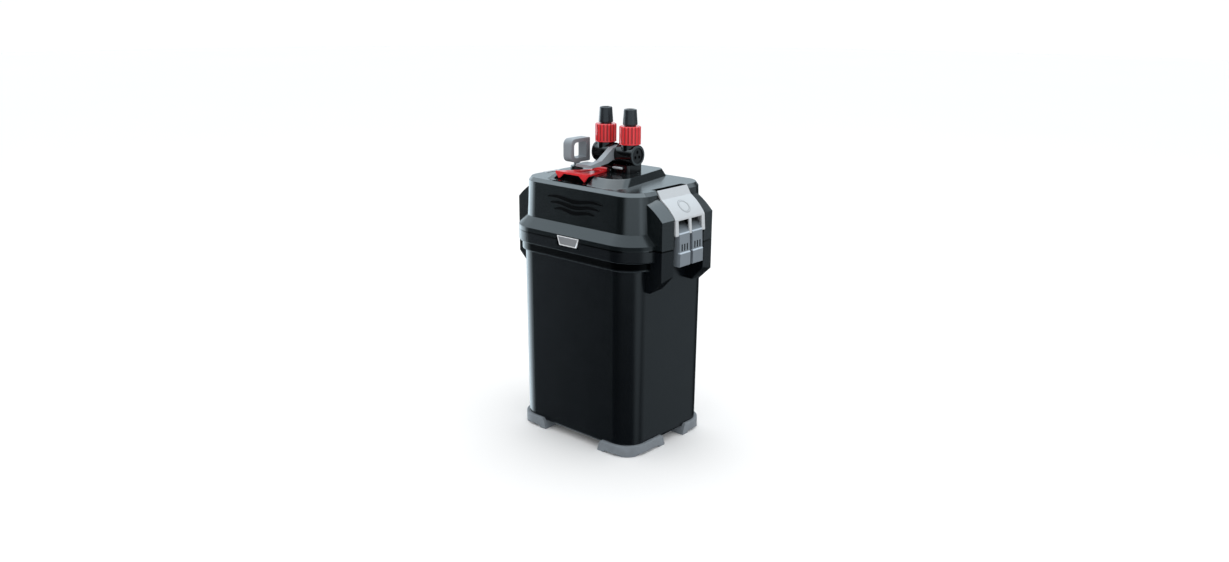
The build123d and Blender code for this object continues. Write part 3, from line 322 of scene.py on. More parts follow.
def plastic(name, color, rough, grain=1100.0, depth=0.00004, level=0.4, mottle=0.10, coat=0.0, dust=0.0,
            spread=0.05, paint_light_and_shade=False):
    """Moulded plastic: a spark-eroded grain, faint flow clouds, handling smudges and settled dust, and when
    asked, painted highlights and painted shade on the casing.
    """
    s = Shader(name)
    clouds = s.noise(14.0, 3.0)
    flow = s.noise(9.0, 4.0, coords=s.scaled((1.0, 1.0, 0.25)), distort=0.6)
    shade = s.mix(s.remap(clouds, 0.3, 0.7, 0, 1), tint(color, 1 - mottle), tint(color, 1 + mottle))
    shade = s.mix(s.remap(flow, 0.45, 0.75, 0, 0.35), shade, tint(color, 1 + 2 * mottle))
    if dust:
        up = s.add("ShaderNodeSeparateXYZ", {"Vector": s.add("ShaderNodeNewGeometry").outputs["Normal"]})
        fall = s.remap(up.outputs["Z"], 0.6, 1.0, 0, dust)
        speck = s.remap(s.noise(260.0, 4.0, 0.7), 0.5, 0.75, 0.3, 1)
        shade = s.mix(s.math("MULTIPLY", fall, speck), shade, DUST)
    smudge = s.noise(38.0, 3.0, 0.6)
    micro = s.noise(grain, 2.0)
    gloss = s.remap(smudge, 0.25, 0.75, rough - spread, rough + 1.4 * spread)
    if paint_light_and_shade:
        # Mask of the painted shade in the clamp hollows and under the rim, and of the seam's dark line.
        shade_and_seam = s.painted_shade_and_seam()
        # Painted highlights: lighter lines on the rim's and the step's edges.
        shade = s.mix(s.painted_edge_highlights(), shade, EDGE_HIGHLIGHT)
        # Painted highlight: the roof's bevel made lighter.
        shade = s.mix(s.painted_roof_highlight(), shade, ROOF_HIGHLIGHT)
        # Painted shade: those places darkened to 0.15 of the colour.
        shade = s.mix(shade_and_seam, shade, tint(color, 0.15))
        sheen = s.mix(s.duller(), FULL_SHEEN, DULL_SHEEN)
        # Painted shade in the gloss as well: almost no reflection is left there.
        s.put(s.bsdf.inputs["Specular Tint"], s.mix(shade_and_seam, sheen, SHADE_AND_SEAM_SHEEN))
    s.set(Base_Color=shade)
    s.put(s.bsdf.inputs["Roughness"], gloss)
    s.bsdf.inputs["Specular IOR Level"].default_value = level
    if coat:
        s.bsdf.inputs["Coat Weight"].default_value = coat
        s.bsdf.inputs["Coat Roughness"].default_value = 0.08
    fine = s.bump(micro, depth, 0.9)
    s.put(s.bsdf.inputs["Normal"], s.bump(s.noise(30.0, 1.0), 0.00004, 0.3, fine))
    return s.material


def finger_plastic(name, color):
    """The catch's satin grey, with painted shade in the scoop and the slots and painted highlights on the
    ridge and the ledge.
    """
    material = plastic(name, color, 0.36, mottle=0.05)
    s = Shader.again(material)
    across, along, height = s.places()
    plain = s.bsdf.inputs["Base Color"].links[0].from_socket
    # Painted shade: the scoop gets darker higher up, and the slots nearly black.
    scoop = s.both(s.remap(height, *SCOOP_RISE, 0.0, 1.0), s.between(height, SCOOP_Z))
    shade = s.mix(s.remap(scoop, 0.0, 0.75, 0.0, 1.0), plain, tint(color, 0.06))
    slots = s.both(s.between(height, SLOTS_Z), s.between(across, SLOTS_OUT), s.between(along, SLOTS_Y))
    shade = s.mix(slots, shade, tint(color, 0.04))
    # Painted highlights: bright lines on the ridge and the ledge of the catch's face.
    ridge = s.either(s.between(height, RIDGE_Z, 0.0004), s.between(height, LEDGE_Z))
    ridge = s.both(ridge, s.beyond(across, FINGER_FACE))
    s.set(Base_Color=s.mix(ridge, shade, tint(color, 2.9)))
    return material


def ribbed_plastic(name, color):
    """Glossy red plastic, with painted shade down in the lock nuts' flutes."""
    material = plastic(name, color, 0.20, depth=0.00001, level=0.55, mottle=0.03, spread=0.015)
    s = Shader.again(material)
    across, _, height = s.places()
    reach = s.reach(s.math("SUBTRACT", across, NECK_X), s.math("SUBTRACT", s.forward(), VALVE_Y))
    # Painted shade in the flutes between the nuts' ribs.
    flutes = s.both(s.remap(reach, *FLUTE_RADII, 1, 0), s.between(height, NUT_Z),
                    s.remap(reach, *NUT_CORE_RADII, 0, 1))
    plain = s.bsdf.inputs["Base Color"].links[0].from_socket
    s.set(Base_Color=s.mix(flutes, plain, tint(color, 0.16)))
    return material


def bezel_plastic(name, color):
    """Gloss black plastic, with a dull grey ring on the rims of the valve's barrel caps."""
    material = plastic(name, color, 0.13, depth=0.00001, level=0.4, coat=0.1, spread=0.015)
    s = Shader.again(material)
    across, _, height = s.places()
    reach = s.reach(s.math("SUBTRACT", height, BARREL_Z), s.math("SUBTRACT", s.forward(), VALVE_Y))
    rim = s.both(s.between(reach, CAP_RIM_RADII), s.beyond(across, CAP_OUT))
    plain = s.bsdf.inputs["Base Color"].links[0].from_socket
    s.set(Base_Color=s.mix(s.math("MULTIPLY", rim, 0.8), plain, CAP_RIM))
    return material


def rubber(name, color, rough=0.62, sheen=0.12):
    """Soft matt rubber with a dry bloom and a fine grain."""
    s = Shader(name)
    bloom = s.noise(70.0, 4.0, 0.65)
    s.set(Base_Color=s.mix(s.remap(bloom, 0.4, 0.7, 0, 0.6), color, tint(color, 1.35)))
    s.put(s.bsdf.inputs["Roughness"], s.remap(bloom, 0.3, 0.7, rough - 0.06, rough + 0.1))
    s.bsdf.inputs["Specular IOR Level"].default_value = 0.35
    s.bsdf.inputs["Sheen Weight"].default_value = sheen
    s.put(s.bsdf.inputs["Normal"], s.bump(s.noise(1500.0, 3.0), 0.00006, 0.8))
    return s.material


def painted_metal(name, color, rough=0.34, flake=0.25, ring=None):
    """Silver paint: fine flake, orange peel, a soft gloss, and dark lines beside a raised ring at (x, z).
    """
    s = Shader(name)
    sparkle = s.cells(2600.0)
    peel = s.noise(420.0, 2.0)
    clouds = s.noise(20.0, 2.0)
    base = s.mix(s.remap(sparkle, 0.1, 0.6, 0, flake), tint(color, 1.08), tint(color, 0.82))
    base = s.mix(s.remap(clouds, 0.35, 0.65, 0, 0.25), base, tint(color, 0.93))
    if ring:
        across, along, height = s.places()
        reach = s.reach(s.math("SUBTRACT", across, ring[0]), along, s.math("SUBTRACT", height, ring[1]))
        lines = s.either(s.between(reach, RING_DARK_OUTSIDE), s.between(reach, RING_DARK_INSIDE))
        base = s.mix(s.math("MULTIPLY", lines, 0.75), base, tint(color, 0.35))
    s.set(Base_Color=base)
    s.bsdf.inputs["Metallic"].default_value = 0.1
    s.put(s.bsdf.inputs["Roughness"], s.remap(peel, 0.3, 0.7, rough - 0.04, rough + 0.06))
    s.put(s.bsdf.inputs["Normal"], s.bump(peel, 0.00004, 0.6))
    return s.material


def metal(name, color, rough=0.3, lines=(900.0, 900.0, 40.0), bumpy=0.00003):
    """Bare metal with drawn lines along one axis."""
    s = Shader(name)
    brushed = s.noise(1.0, 4.0, 0.6, coords=s.scaled(lines))
    s.set(Base_Color=s.mix(s.remap(brushed, 0.3, 0.7, 0, 1), tint(color, 0.85), tint(color, 1.1)))
    s.bsdf.inputs["Metallic"].default_value = 1.0
    s.put(s.bsdf.inputs["Roughness"], s.remap(brushed, 0.3, 0.7, rough - 0.06, rough + 0.12))
    s.put(s.bsdf.inputs["Normal"], s.bump(brushed, bumpy, 0.7))
    return s.material


def ceramic(name, color):
    """Unglazed porous ceramic with chalky specks."""
    s = Shader(name)
    pores = s.cells(1500.0)
    clouds = s.noise(90.0, 4.0, 0.6)
    base = s.mix(s.remap(clouds, 0.3, 0.7, 0, 1), tint(color, 0.86), tint(color, 1.05))
    s.set(Base_Color=s.mix(s.remap(pores, 0.0, 0.35, 0.45, 0), base, tint(color, 0.55)))
    s.put(s.bsdf.inputs["Roughness"], s.remap(clouds, 0.3, 0.7, 0.75, 0.92))
    s.put(s.bsdf.inputs["Normal"], s.bump(pores, 0.00015, 0.8))
    return s.material


def porous(name, color, scale, depth, rough=0.9):
    """Open-cell foam or fibre: dark pores between lighter strands."""
    s = Shader(name)
    cell = s.cells(scale)
    small = s.cells(scale * 2.3)
    web = s.math("MULTIPLY", cell, s.math("ADD", small, 0.35))
    s.set(Base_Color=s.mix(s.remap(web, 0.05, 0.4, 0, 1), tint(color, 1.5), tint(color, 0.25)))
    s.put(s.bsdf.inputs["Roughness"], s.remap(s.noise(scale * 0.3), 0.3, 0.7, rough - 0.05, rough + 0.08))
    s.bsdf.inputs["Sheen Weight"].default_value = 0.25
    s.put(s.bsdf.inputs["Normal"], s.bump(s.remap(web, 0.0, 0.45, 1, 0), depth, 1.0))
    return s.material


def make_materials():
    """One material for each of the record's slots."""
    return {
        "canister_plastic": plastic("canister_plastic", (0.0016, 0.0026, 0.0040), 0.24, level=0.46,
                                    depth=0.00002, spread=0.012, paint_light_and_shade=True),
        "head_plastic": plastic("head_plastic", (0.0030, 0.0050, 0.0060), 0.21, level=0.8,
                                depth=0.00002, dust=0.01, spread=0.012, paint_light_and_shade=True),
        "inner_plastic": plastic("inner_plastic", (0.018, 0.018, 0.020), 0.42),
        "basket_plastic": plastic("basket_plastic", (0.075, 0.082, 0.09), 0.44),
        "gloss_black": bezel_plastic("gloss_black", (0.0015, 0.0015, 0.002)),
        "inlay_black": plastic("inlay_black", (0.0006, 0.0006, 0.0008), 0.30, depth=0.00001,
                               level=0.08, spread=0.02),
        "foot_rubber": rubber("foot_rubber", (0.16, 0.18, 0.20)),
        "seal_rubber": rubber("seal_rubber", (0.018, 0.018, 0.019), 0.5),
        "connector_rubber": rubber("connector_rubber", (0.015, 0.019, 0.023), 0.25, sheen=0.02),
        "red_plastic": ribbed_plastic("red_plastic", (0.72, 0.024, 0.030)),
        "lever_grey": plastic("lever_grey", (0.235, 0.26, 0.285), 0.36, mottle=0.05),
        "catch_grey": finger_plastic("catch_grey", (0.16, 0.185, 0.21)),
        "clamp_silver": painted_metal("clamp_silver", (0.47, 0.49, 0.51), 0.42, ring=CLAMP_RING),
        "badge_silver": painted_metal("badge_silver", (0.74, 0.75, 0.77), 0.26),
        "badge_field": painted_metal("badge_field", (0.20, 0.205, 0.215), 0.34, 0.15),
        "steel": metal("steel", (0.62, 0.62, 0.63)),
        "stator_steel": metal("stator_steel", (0.36, 0.36, 0.37), 0.45, (60.0, 60.0, 2200.0)),
        "coil_copper": metal("coil_copper", (0.72, 0.30, 0.13), 0.32, (60.0, 1800.0, 60.0)),
        "magnet": plastic("magnet", (0.045, 0.045, 0.05), 0.5),
        "ceramic_white": ceramic("ceramic_white", (0.78, 0.73, 0.64)),
        "granules": porous("granules", (0.028, 0.028, 0.03), 1400.0, 0.0003),
        "foam": porous("foam", (0.05, 0.055, 0.06), 620.0, 0.0008),
        "pad_fibre": porous("pad_fibre", (0.72, 0.74, 0.77), 1900.0, 0.0004),
    }


def dress(materials):
    """Puts the right material on each CAD node and smooths its curved faces."""
    for part in frame["record"]["subparts"]:
        piece = nodes[part["node"]]
        mesh = piece.data
        mesh.materials.clear()
        mesh.materials.append(materials[part["material_slot"]])
        for face in mesh.polygons:
            face.use_smooth = True
        mesh.set_sharp_from_angle(angle=math.radians(28))
    nodes["front_inlay"].data.materials[0] = materials["inlay_black"]


# ---- studio -------------------------------------------------------------------
def area_light(name, place, aim, size, power):
    """A soft white rectangle of light, turned towards a place."""
    data = bpy.data.lights.new(name, "AREA")
    data.shape = "RECTANGLE"
    data.size, data.size_y = size
    data.energy = power
    light = bpy.data.objects.new(name, data)
    bpy.context.collection.objects.link(light)
    light.location = place
    light.rotation_mode = "QUATERNION"
    light.rotation_quaternion = (Vector(aim) - Vector(place)).to_track_quat("-Z", "Y")


def make_world():
    """Even pale light for the surfaces; in their gloss, a bright ceiling, a white back and a dark front."""
    world = bpy.data.worlds.new("studio")
    bpy.context.scene.world = world
    world.use_nodes = True
    tree = world.node_tree
    background = tree.nodes["Background"]

    def node(kind, *inputs, **settings):
        """A new node with its settings, and its inputs in order."""
        made = tree.nodes.new(kind)
        for key, value in settings.items():
            setattr(made, key, value)
        for socket, value in zip(made.inputs, inputs):
            if isinstance(value, bpy.types.NodeSocket):
                tree.links.new(value, socket)
            else:
                socket.default_value = value
        return made

    def ramp(value, low, high, to_low, to_high):
        """A value carried from one range to another with soft ends."""
        made = node("ShaderNodeMapRange", value, low, high, to_low, to_high)
        made.interpolation_type = "SMOOTHSTEP"
        return made.outputs[0]

    def sum_of(*values):
        total = values[0]
        for value in values[1:]:
            total = node("ShaderNodeMath", total, value, operation="ADD").outputs[0]
        return total

    def product(a, b):
        return node("ShaderNodeMath", a, b, operation="MULTIPLY").outputs[0]

    def lamp(azimuth, elevation, start, full, strength, dim=0.0):
        """A round patch of light with a soft edge."""
        turn, rise = math.radians(azimuth), math.radians(elevation)
        aim = (math.cos(turn) * math.cos(rise), math.sin(turn) * math.cos(rise), math.sin(rise))
        facing = node("ShaderNodeVectorMath", way, aim, operation="DOT_PRODUCT").outputs["Value"]
        return ramp(facing, start, full, dim, strength)

    way = node("ShaderNodeTexCoord").outputs["Generated"]
    height = node("ShaderNodeSeparateXYZ", way).outputs["Z"]
    above = ramp(height, *CEILING_RISE, 0.0, 1.0)
    below = node("ShaderNodeMath", 1.0, above, operation="SUBTRACT").outputs[0]
    front = product(lamp(*FRONT_LAMP), ramp(height, *FRONT_LAMP_FOOT, 0.0, 1.0))
    lamps = [lamp(*place) for place in (SIDE_LAMP, RIM_LAMP, STRIP_LAMP)]
    around = sum_of(lamp(*BACK_WALL, dim=SURROUND), *lamps, front)
    total = sum_of(product(around, below), product(above, CEILING))
    glossy = node("ShaderNodeLightPath").outputs["Is Glossy Ray"]
    change = node("ShaderNodeMath", total, AMBIENT, operation="SUBTRACT").outputs[0]
    strength = node("ShaderNodeMath", glossy, change, AMBIENT, operation="MULTIPLY_ADD")
    tree.links.new(strength.outputs[0], background.inputs["Strength"])
    hue = node("ShaderNodeMix", data_type="RGBA")
    tree.links.new(glossy, hue.inputs[0])
    hue.inputs[6].default_value = AMBIENT_TINT
    hue.inputs[7].default_value = GLOSS_TINT
    tree.links.new(hue.outputs[2], background.inputs["Color"])


def make_studio():
    """A pale floor, the world's light and two soft boxes."""
    mesh = bpy.data.meshes.new("floor")
    form = bmesh.new()
    bmesh.ops.create_circle(form, cap_ends=True, segments=96, radius=9.0)
    form.to_mesh(mesh)
    form.free()
    floor = bpy.data.objects.new("floor", mesh)
    bpy.context.collection.objects.link(floor)
    floor.location = (0, 0, -0.0004)
    floor.visible_glossy = False
    s = Shader("studio_floor")
    s.set(Base_Color=s.mix(s.noise(1.3, 3.0), (0.955, 0.96, 0.965), (0.975, 0.975, 0.975)))
    s.bsdf.inputs["Roughness"].default_value = 0.8
    s.bsdf.inputs["Specular IOR Level"].default_value = 0.1
    mesh.materials.append(s.material)
    make_world()
    area_light("overhead", (-0.35, 0.35, 1.9), (0, 0, 0.25), (1.4, 1.4), 7)
    area_light("right_box", (1.7, 0.3, 1.0), (0, 0, 0.25), (0.8, 1.2), 4)
    bpy.context.scene.view_settings.view_transform = "Standard"


# ---- detailed pieces ------------------------------------------------------------
def piece(name, points, faces, material, body, smooth=True, sharp=40):
    """A mesh piece that rides on a body, in the shared frame."""
    mesh = bpy.data.meshes.new(name)
    mesh.from_pydata(points, [], faces)
    mesh.materials.append(material)
    mesh.validate()
    for face in mesh.polygons:
        face.use_smooth = smooth
    if smooth:
        mesh.set_sharp_from_angle(angle=math.radians(sharp))
    made = bpy.data.objects.new(name, mesh)
    bpy.context.collection.objects.link(made)
    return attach(made, body)


def tube_ring(outer, inner, length, segments=18, bevel=0.0005):
    """A short hollow cylinder about X with softened rims: its points and faces."""
    half = length / 2
    profile = [(-half, inner), (-half, outer - bevel), (-half + bevel, outer), (half - bevel, outer),
               (half, outer - bevel), (half, inner)]
    points = []
    for step in range(segments):
        turn = 2 * math.pi * step / segments
        for x, radius in profile:
            points.append(Vector((x, radius * math.cos(turn), radius * math.sin(turn))))
    count = len(profile)
    faces = []
    for step in range(segments):
        following = (step + 1) % segments
        for row in range(count):
            beyond = (row + 1) % count
            faces.append((step * count + row, following * count + row, following * count + beyond,
                          step * count + beyond))
    return points, faces


def gather(shapes):
    """Many (points, faces) shapes as one."""
    all_points, all_faces = [], []
    for points, faces in shapes:
        start = len(all_points)
        all_points.extend(points)
        all_faces.extend(tuple(start + index for index in face) for face in faces)
    return all_points, all_faces


def in_rounded(x, y, low, high, corner):
    """Whether a plan point is inside a basket's outline, whose +X corners are round."""
    if not (low[0] <= x <= high[0] and low[1] <= y <= high[1]):
        return False
    over_x = x - (high[0] - corner)
    over_y = max(y - (high[1] - corner), (low[1] + corner) - y)
    return over_x <= 0 or over_y <= 0 or math.hypot(over_x, over_y) <= corner


def media_room(node, margin):
    """The corners of a media block, drawn in by a margin."""
    low, high = (Vector(v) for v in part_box(node))
    gap = Vector((margin, margin, margin))
    return low + gap, high - gap


def between_ends(low, high, share):
    """A place on a line, held before its end."""
    return low + (high - low) * min(1.0, share)


def ceramic_heap(materials):
    """Hollow ceramic rings tipped into the lower basket."""
    dice = random.Random(11)
    low, high = media_room("ceramic_rings", CERAMIC_REACH)
    ring_points, ring_faces = tube_ring(CERAMIC_OUTER, CERAMIC_BORE, CERAMIC_LENGTH)
    spots = [(layer, column, row) for layer in range(CERAMIC_LAYERS) for column in range(CERAMIC_COLUMNS)
             for row in range(CERAMIC_ROWS)]
    shapes = []
    for layer, column, row in spots:
        z = low.z + (high.z - low.z) * layer / (CERAMIC_LAYERS - 1)
        shift = 0.5 * (layer % 2)
        x = between_ends(low.x, high.x, (column + shift) / (CERAMIC_COLUMNS - 1))
        y = between_ends(low.y, high.y, (row + shift) / (CERAMIC_ROWS - 1))
        x += dice.uniform(-CERAMIC_STRAY, CERAMIC_STRAY)
        y += dice.uniform(-CERAMIC_STRAY, CERAMIC_STRAY)
        if not in_rounded(x, y, low, high, CERAMIC_CORNER):
            continue
        turn = Matrix.Rotation(dice.uniform(0, math.pi), 4, "Z")
        tilt = dice.uniform(-0.45, 0.45) if dice.random() < 0.8 else dice.uniform(1.1, 1.57)
        turn = turn @ Matrix.Rotation(tilt, 4, "Y")
        centre = Vector((min(max(x, low.x), high.x), min(max(y, low.y), high.y), z))
        place = Matrix.Translation(centre) @ turn
        shapes.append(([place @ point for point in ring_points], ring_faces))
    heap = piece("ceramic_ring_heap", *gather(shapes), materials["ceramic_white"], "lower_basket")
    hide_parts("ceramic_rings")


def lump(dice, size):
    """One crushed granule: a dented icosahedron."""
    form = bmesh.new()
    bmesh.ops.create_icosphere(form, subdivisions=1, radius=size)
    stretch = Vector((dice.uniform(0.75, 1.2), dice.uniform(0.7, 1.1), dice.uniform(0.6, 0.95)))
    points = []
    for vertex in form.verts:
        points.append(vertex.co * dice.uniform(0.82, 1.12) * stretch)
    faces = [tuple(vertex.index for vertex in face.verts) for face in form.faces]
    form.free()
    return points, faces


def granule_core():
    """A plain block under the loose granules, with the basket's two round corners."""
    low, high = (Vector(v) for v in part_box("filter_granules"))
    x0, y0, z0 = (v + CORE_INSET for v in low)
    x1, y1, z1 = (v - CORE_INSET for v in high)
    outline = [(x0, y0)]
    for centre_y, start in ((y0 + CORE_CORNER, -90), (y1 - CORE_CORNER, 0)):
        for step in range(7):
            turn = math.radians(start + 15 * step)
            outline.append((x1 - CORE_CORNER + CORE_CORNER * math.cos(turn),
                            centre_y + CORE_CORNER * math.sin(turn)))
    outline.append((x0, y1))
    count = len(outline)
    points = [Vector((x, y, z)) for z in (z0, z1 - CORE_BELOW) for x, y in outline]
    faces = [tuple(range(count))[::-1], tuple(range(count, 2 * count))]
    faces += [(i, (i + 1) % count, count + (i + 1) % count, count + i) for i in range(count)]
    return points, faces


def granule_heap(materials):
    """Loose granules in the middle basket, over a rough core."""
    dice = random.Random(5)
    low, high = media_room("filter_granules", GRANULE_ROOM)
    kinds = [lump(dice, GRANULE) for _ in range(GRANULE_KINDS)]
    shapes = []

    def scatter(x, y, z):
        """One granule at a place, turned at random."""
        points, faces = dice.choice(kinds)
        turn = Matrix.Rotation(dice.uniform(0, 6.28), 4, Vector([dice.uniform(-1, 1) for _ in range(3)]))
        place = Matrix.Translation((x, y, z)) @ turn
        shapes.append(([place @ point for point in points], faces))

    columns = int((high.x - low.x) / GRANULE_PITCH)
    rows = int((high.y - low.y) / GRANULE_PITCH)
    for column in range(columns + 1):
        for row in range(rows + 1):
            x = low.x + GRANULE_PITCH * column + dice.uniform(-GRANULE_STRAY, GRANULE_STRAY)
            y = low.y + GRANULE_PITCH * row + dice.uniform(-GRANULE_STRAY, GRANULE_STRAY)
            x = min(max(x, low.x), high.x)
            y = min(max(y, low.y), high.y)
            if not in_rounded(x, y, low, high, GRANULE_CORNER):
                continue
            mound = 2.4 * MM * (noise.noise(Vector((x * 30, y * 30, 3.0))) - 0.9)
            scatter(x, y, high.z + mound + dice.uniform(-0.6, 0.0) * MM)
            scatter(x, y, low.z + dice.uniform(0.0, 0.5) * MM)
    shapes.append(granule_core())
    heap = piece("granule_heap", *gather(shapes), materials["granules"], "middle_basket", smooth=False)
    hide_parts("filter_granules")


def runs_along(edge, axis):
    """Whether an edge of an upright box lies along an axis."""
    span = edge.verts[0].co - edge.verts[1].co
    return abs(span[axis]) > TINY and all(abs(span[other]) < TINY for other in range(3) if other != axis)


def soft_slab(name, low, high, corner_x, material, body, seed, roughness, cells):
    """A padded slab: a fine rounded grid whose skin is pulled in by noise; `cells` cuts along each axis."""
    form = bmesh.new()
    bmesh.ops.create_cube(form, size=1.0)
    for axis, cuts in enumerate(cells):
        edges = [edge for edge in form.edges if runs_along(edge, axis)]
        bmesh.ops.subdivide_edges(form, edges=edges, cuts=cuts, use_grid_fill=True)
    size = high - low
    middle = (low + high) / 2
    rounding = min(size) * 0.22
    for vertex in form.verts:
        spot = Vector([vertex.co[i] * size[i] for i in range(3)])
        reach = [size[i] / 2 - rounding for i in range(3)]
        core = Vector([max(-reach[i], min(reach[i], spot[i])) for i in range(3)])
        out = spot - core
        if out.length > rounding:
            out = out.normalized() * rounding
        place = core + out
        if corner_x and place.x > size.x / 2 - corner_x:
            side = max(abs(place.y) - (size.y / 2 - corner_x), 0.0)
            limit = math.sqrt(max(corner_x ** 2 - side ** 2, 0.0))
            place.x = min(place.x, size.x / 2 - corner_x + limit)
        world = middle + place
        wave = noise.fractal(world * 160 + Vector((seed, 0, 0)), 1.0, 2.0, 3) * roughness
        normal = out.normalized() if out.length > 1e-7 else Vector((0, 0, 0))
        vertex.co = world + normal * (min(wave, 0.0) - roughness * 0.3)
    points = [vertex.co.copy() for vertex in form.verts]
    faces = [tuple(vertex.index for vertex in face.verts) for face in form.faces]
    form.free()
    return piece(name, points, faces, material, body, sharp=180)


def foams(materials):
    """The two upright foams, each a soft slab."""
    for side, seed in (("outer", 7), ("inner", 19)):
        node = "foam_pad_" + side
        low, high = (Vector(v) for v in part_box(node))
        slab = soft_slab("foam_slab_" + side, low, high, 0.0, materials["foam"], "foam_cartridge", seed,
                         FOAM_SKIN, cells=(4, 60, 90))
        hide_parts(node)


def fibre_pads(materials):
    """Three fibre pads in the upper basket, with loose strands over the top one."""
    low, high = (Vector(v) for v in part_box("polishing_pad"))
    thick = (high.z - low.z) / len(PAD_LAYERS)
    for layer, name in enumerate(PAD_LAYERS):
        start = low + Vector((0, 0, thick * layer))
        end = Vector((high.x, high.y, start.z + thick - PAD_GAP))
        slab = soft_slab(name, start, end, PAD_CORNER, materials["pad_fibre"], "upper_basket", 31 + layer,
                         FIBRE_SKIN, cells=(60, 60, 6))
    # The top pad stands for the whole block.
    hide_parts("polishing_pad")
    fibres(materials, start, end)


def fibres(materials, low, high):
    """Loose strands that lie over the top pad."""
    dice = random.Random(23)
    shapes = []
    for _ in range(STRANDS):
        x = dice.uniform(low.x + STRAND_MARGIN, high.x - STRAND_CORNER_MARGIN)
        y = dice.uniform(low.y + STRAND_MARGIN, high.y - STRAND_MARGIN)
        angle = dice.uniform(0, 6.28)
        width = dice.uniform(0.05, 0.11) * MM
        points = []
        for step in range(STRAND_STEPS):
            lift = math.sin(math.pi * step / (STRAND_STEPS - 1)) * dice.uniform(0.3, 1.0) * MM
            side = Vector((-math.sin(angle), math.cos(angle), 0)) * width
            spot = Vector((x, y, min(high.z - STRAND_DEPTH + lift, high.z)))
            points.extend((spot - side, spot + side, spot + Vector((0, 0, 2 * width))))
            angle += dice.uniform(-0.5, 0.5)
            x += STRAND_STEP * math.cos(angle)
            y += STRAND_STEP * math.sin(angle)
        faces = []
        for step in range(STRAND_STEPS - 1):
            for edge in range(3):
                one, two = 3 * step + edge, 3 * step + (edge + 1) % 3
                faces.append((one, two, two + 3, one + 3))
        shapes.append((points, faces))
    strands = piece("polishing_pad_fibres", *gather(shapes), materials["pad_fibre"], "upper_basket")


def sweep(path, radius, sides=8):
    """A round wire along a path: its points and faces."""
    points = []
    for index, spot in enumerate(path):
        ahead = path[min(index + 1, len(path) - 1)] - path[max(index - 1, 0)]
        ahead.normalize()
        across = ahead.cross(Vector((0.31, 0.2, 0.93))).normalized()
        up = ahead.cross(across)
        for side in range(sides):
            turn = 2 * math.pi * side / sides
            points.append(spot + radius * (across * math.cos(turn) + up * math.sin(turn)))
    faces = []
    for index in range(len(path) - 1):
        for side in range(sides):
            other = (side + 1) % sides
            one, two = index * sides, (index + 1) * sides
            faces.append((one + side, one + other, two + other, two + side))
    last = (len(path) - 1) * sides
    faces.append(tuple(range(sides))[::-1])
    faces.append(tuple(last + side for side in range(sides)))
    return points, faces


def spring_wire(centre, hand, side):
    """One torsion spring round a Y axis, with a leg down and a leg towards the casing."""
    coil = []
    for step in range(COIL_STEPS + 1):
        angle = 2 * math.pi * COIL_TURNS * step / COIL_STEPS
        along = side * (COIL_START + COIL_LENGTH * step / COIL_STEPS)
        coil.append(centre + Vector((hand * COIL_R * math.cos(angle), along, COIL_R * math.sin(angle))))
    leg = [coil[0] + Vector((0, 0, -length * MM)) for length in (5.0, 2.5)]
    tail = [coil[-1] + Vector((-hand * length * MM, 0, 0)) for length in (1.2, 3.0)]
    return sweep(leg + coil + tail, WIRE_R)


def catch_springs(materials):
    """Wound torsion springs with their two legs, at both ends of each catch's barrel."""
    for hand, name in ((1, "right"), (-1, "left")):
        node = name + "_catch_spring"
        low, high = (Vector(v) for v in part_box(node))
        centre = Vector(((low.x + high.x) / 2, 0, (low.z + high.z) / 2))
        wires = [spring_wire(centre, hand, side) for side in (-1, 1)]
        spring = piece(node + "_wire", *gather(wires), materials["steel"], name + "_clamp")
        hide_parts(node)


def slab_points(outline, low, high, bevel=0.0):
    """A plate from an outline of (x, z) points, between y = low and y = high, with a bevelled front."""
    centre = (sum(x for x, _ in outline) / len(outline), sum(z for _, z in outline) / len(outline))
    rings = []
    for shrink, y in ((bevel, low), (0.0, low + bevel), (0.0, high)):
        ring = []
        for x, z in outline:
            away = Vector((x - centre[0], 0, z - centre[1]))
            length = away.length
            pulled = away * max(0.0, (length - 1.4 * shrink) / length)
            ring.append(Vector((centre[0] + pulled.x, y, centre[1] + pulled.z)))
        rings.append(ring)
    count = len(outline)
    points = [point for ring in rings for point in ring]
    faces = [tuple(range(count)), tuple(range(2 * count, 3 * count))[::-1]]
    for level in range(2):
        for index in range(count):
            following = (index + 1) % count
            faces.append((level * count + index, (level + 1) * count + index,
                          (level + 1) * count + following, level * count + following))
    return points, faces


def badge_face(materials):
    """A bright bevelled frame on the badge round a blank, darker field."""
    low, high = (Vector(v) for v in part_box("badge"))
    front, z0, z1 = low.y, low.z, high.z
    wide, narrow = high.x, high.x * BADGE_TAPER
    lower = narrow - BADGE_RIM * 1.2
    upper = wide - BADGE_RIM * 1.5
    outer = [(-narrow, z0), (narrow, z0), (wide, z1), (-wide, z1)]
    field = [(-lower, z0 + BADGE_RIM), (lower, z0 + BADGE_RIM), (upper, z1 - BADGE_RIM),
             (-upper, z1 - BADGE_RIM)]
    plate = slab_points(field, front - FIELD_OUT, front + BADGE_SUNK)
    piece("badge_blank_field", *plate, materials["badge_field"], "head")
    bars = []
    for index in range(len(outer)):
        following = (index + 1) % len(outer)
        bar = [outer[index], outer[following], field[following], field[index]]
        bars.append(slab_points(bar, front - FRAME_OUT, front + BADGE_SUNK, BADGE_BEVEL))
    piece("badge_frame", *gather(bars), materials["badge_silver"], "head")


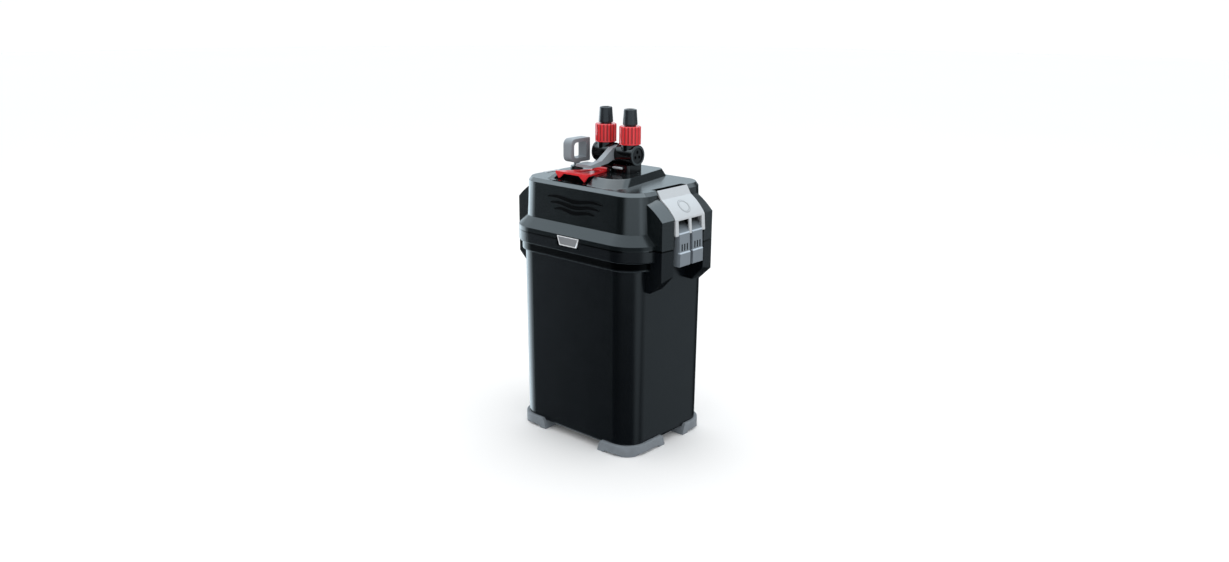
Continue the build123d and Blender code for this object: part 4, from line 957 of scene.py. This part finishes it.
def rounded_bar(low, high, radius, steps=4):
    """A bar along X with a rounded cross-section and closed ends."""
    middle_y, middle_z = (low.y + high.y) / 2, (low.z + high.z) / 2
    half_y, half_z = (high.y - low.y) / 2 - radius, (high.z - low.z) / 2 - radius
    section = []
    for quarter, (sy, sz) in enumerate(((1, 1), (-1, 1), (-1, -1), (1, -1))):
        for step in range(steps + 1):
            turn = math.radians(90 * quarter + 90 * step / steps)
            section.append((middle_y + sy * half_y + radius * math.cos(turn),
                            middle_z + sz * half_z + radius * math.sin(turn)))
    count = len(section)
    points = []
    for x, shrink in ((low.x, 0.75), (low.x + radius, 1.0), (high.x - radius, 1.0), (high.x, 0.75)):
        points.extend(Vector((x, middle_y + (y - middle_y) * shrink, middle_z + (z - middle_z) * shrink))
                      for y, z in section)
    faces = [tuple(range(count))[::-1], tuple(range(3 * count, 4 * count))]
    for level in range(3):
        for index in range(count):
            following = (index + 1) % count
            faces.append((level * count + index, level * count + following,
                          (level + 1) * count + following, (level + 1) * count + index))
    return points, faces


def valve_trim(materials):
    """The light index bar at the foot of the valve block."""
    shape = rounded_bar(*INDEX_BAR, INDEX_BAR_ROUND)
    piece("valve_index_bar", *shape, materials["clamp_silver"], "valve")


def recess_shade_sheets(materials):
    """Black sheets of painted shade in the finger recess under the red lever: on its floor and its back."""
    (x0, y0, z0), (x1, y1, z1) = RECESS_SHADE_BOX
    faces = [(3, 2, 1, 0), (4, 5, 6, 7), (0, 1, 5, 4), (1, 2, 6, 5), (2, 3, 7, 6), (3, 0, 4, 7)]
    boxes = []
    for front, low, high in ((y0, z0, z0 + SHADE_SHEET_WALL), (y1 - SHADE_SHEET_WALL, z0 + SHADE_SHEET_WALL, z1)):
        plan = ((x0, front), (x1, front), (x1, y1), (x0, y1))
        boxes.append(([Vector((x, y, z)) for z in (low, high) for x, y in plan], faces))
    shade_sheets = piece("finger_recess_shade_sheets", *gather(boxes), materials["gloss_black"], "head", smooth=False)


make_camera()
make_studio()
materials = make_materials()
dress(materials)
ceramic_heap(materials)
granule_heap(materials)
foams(materials)
fibre_pads(materials)
catch_springs(materials)
badge_face(materials)
valve_trim(materials)
recess_shade_sheets(materials)
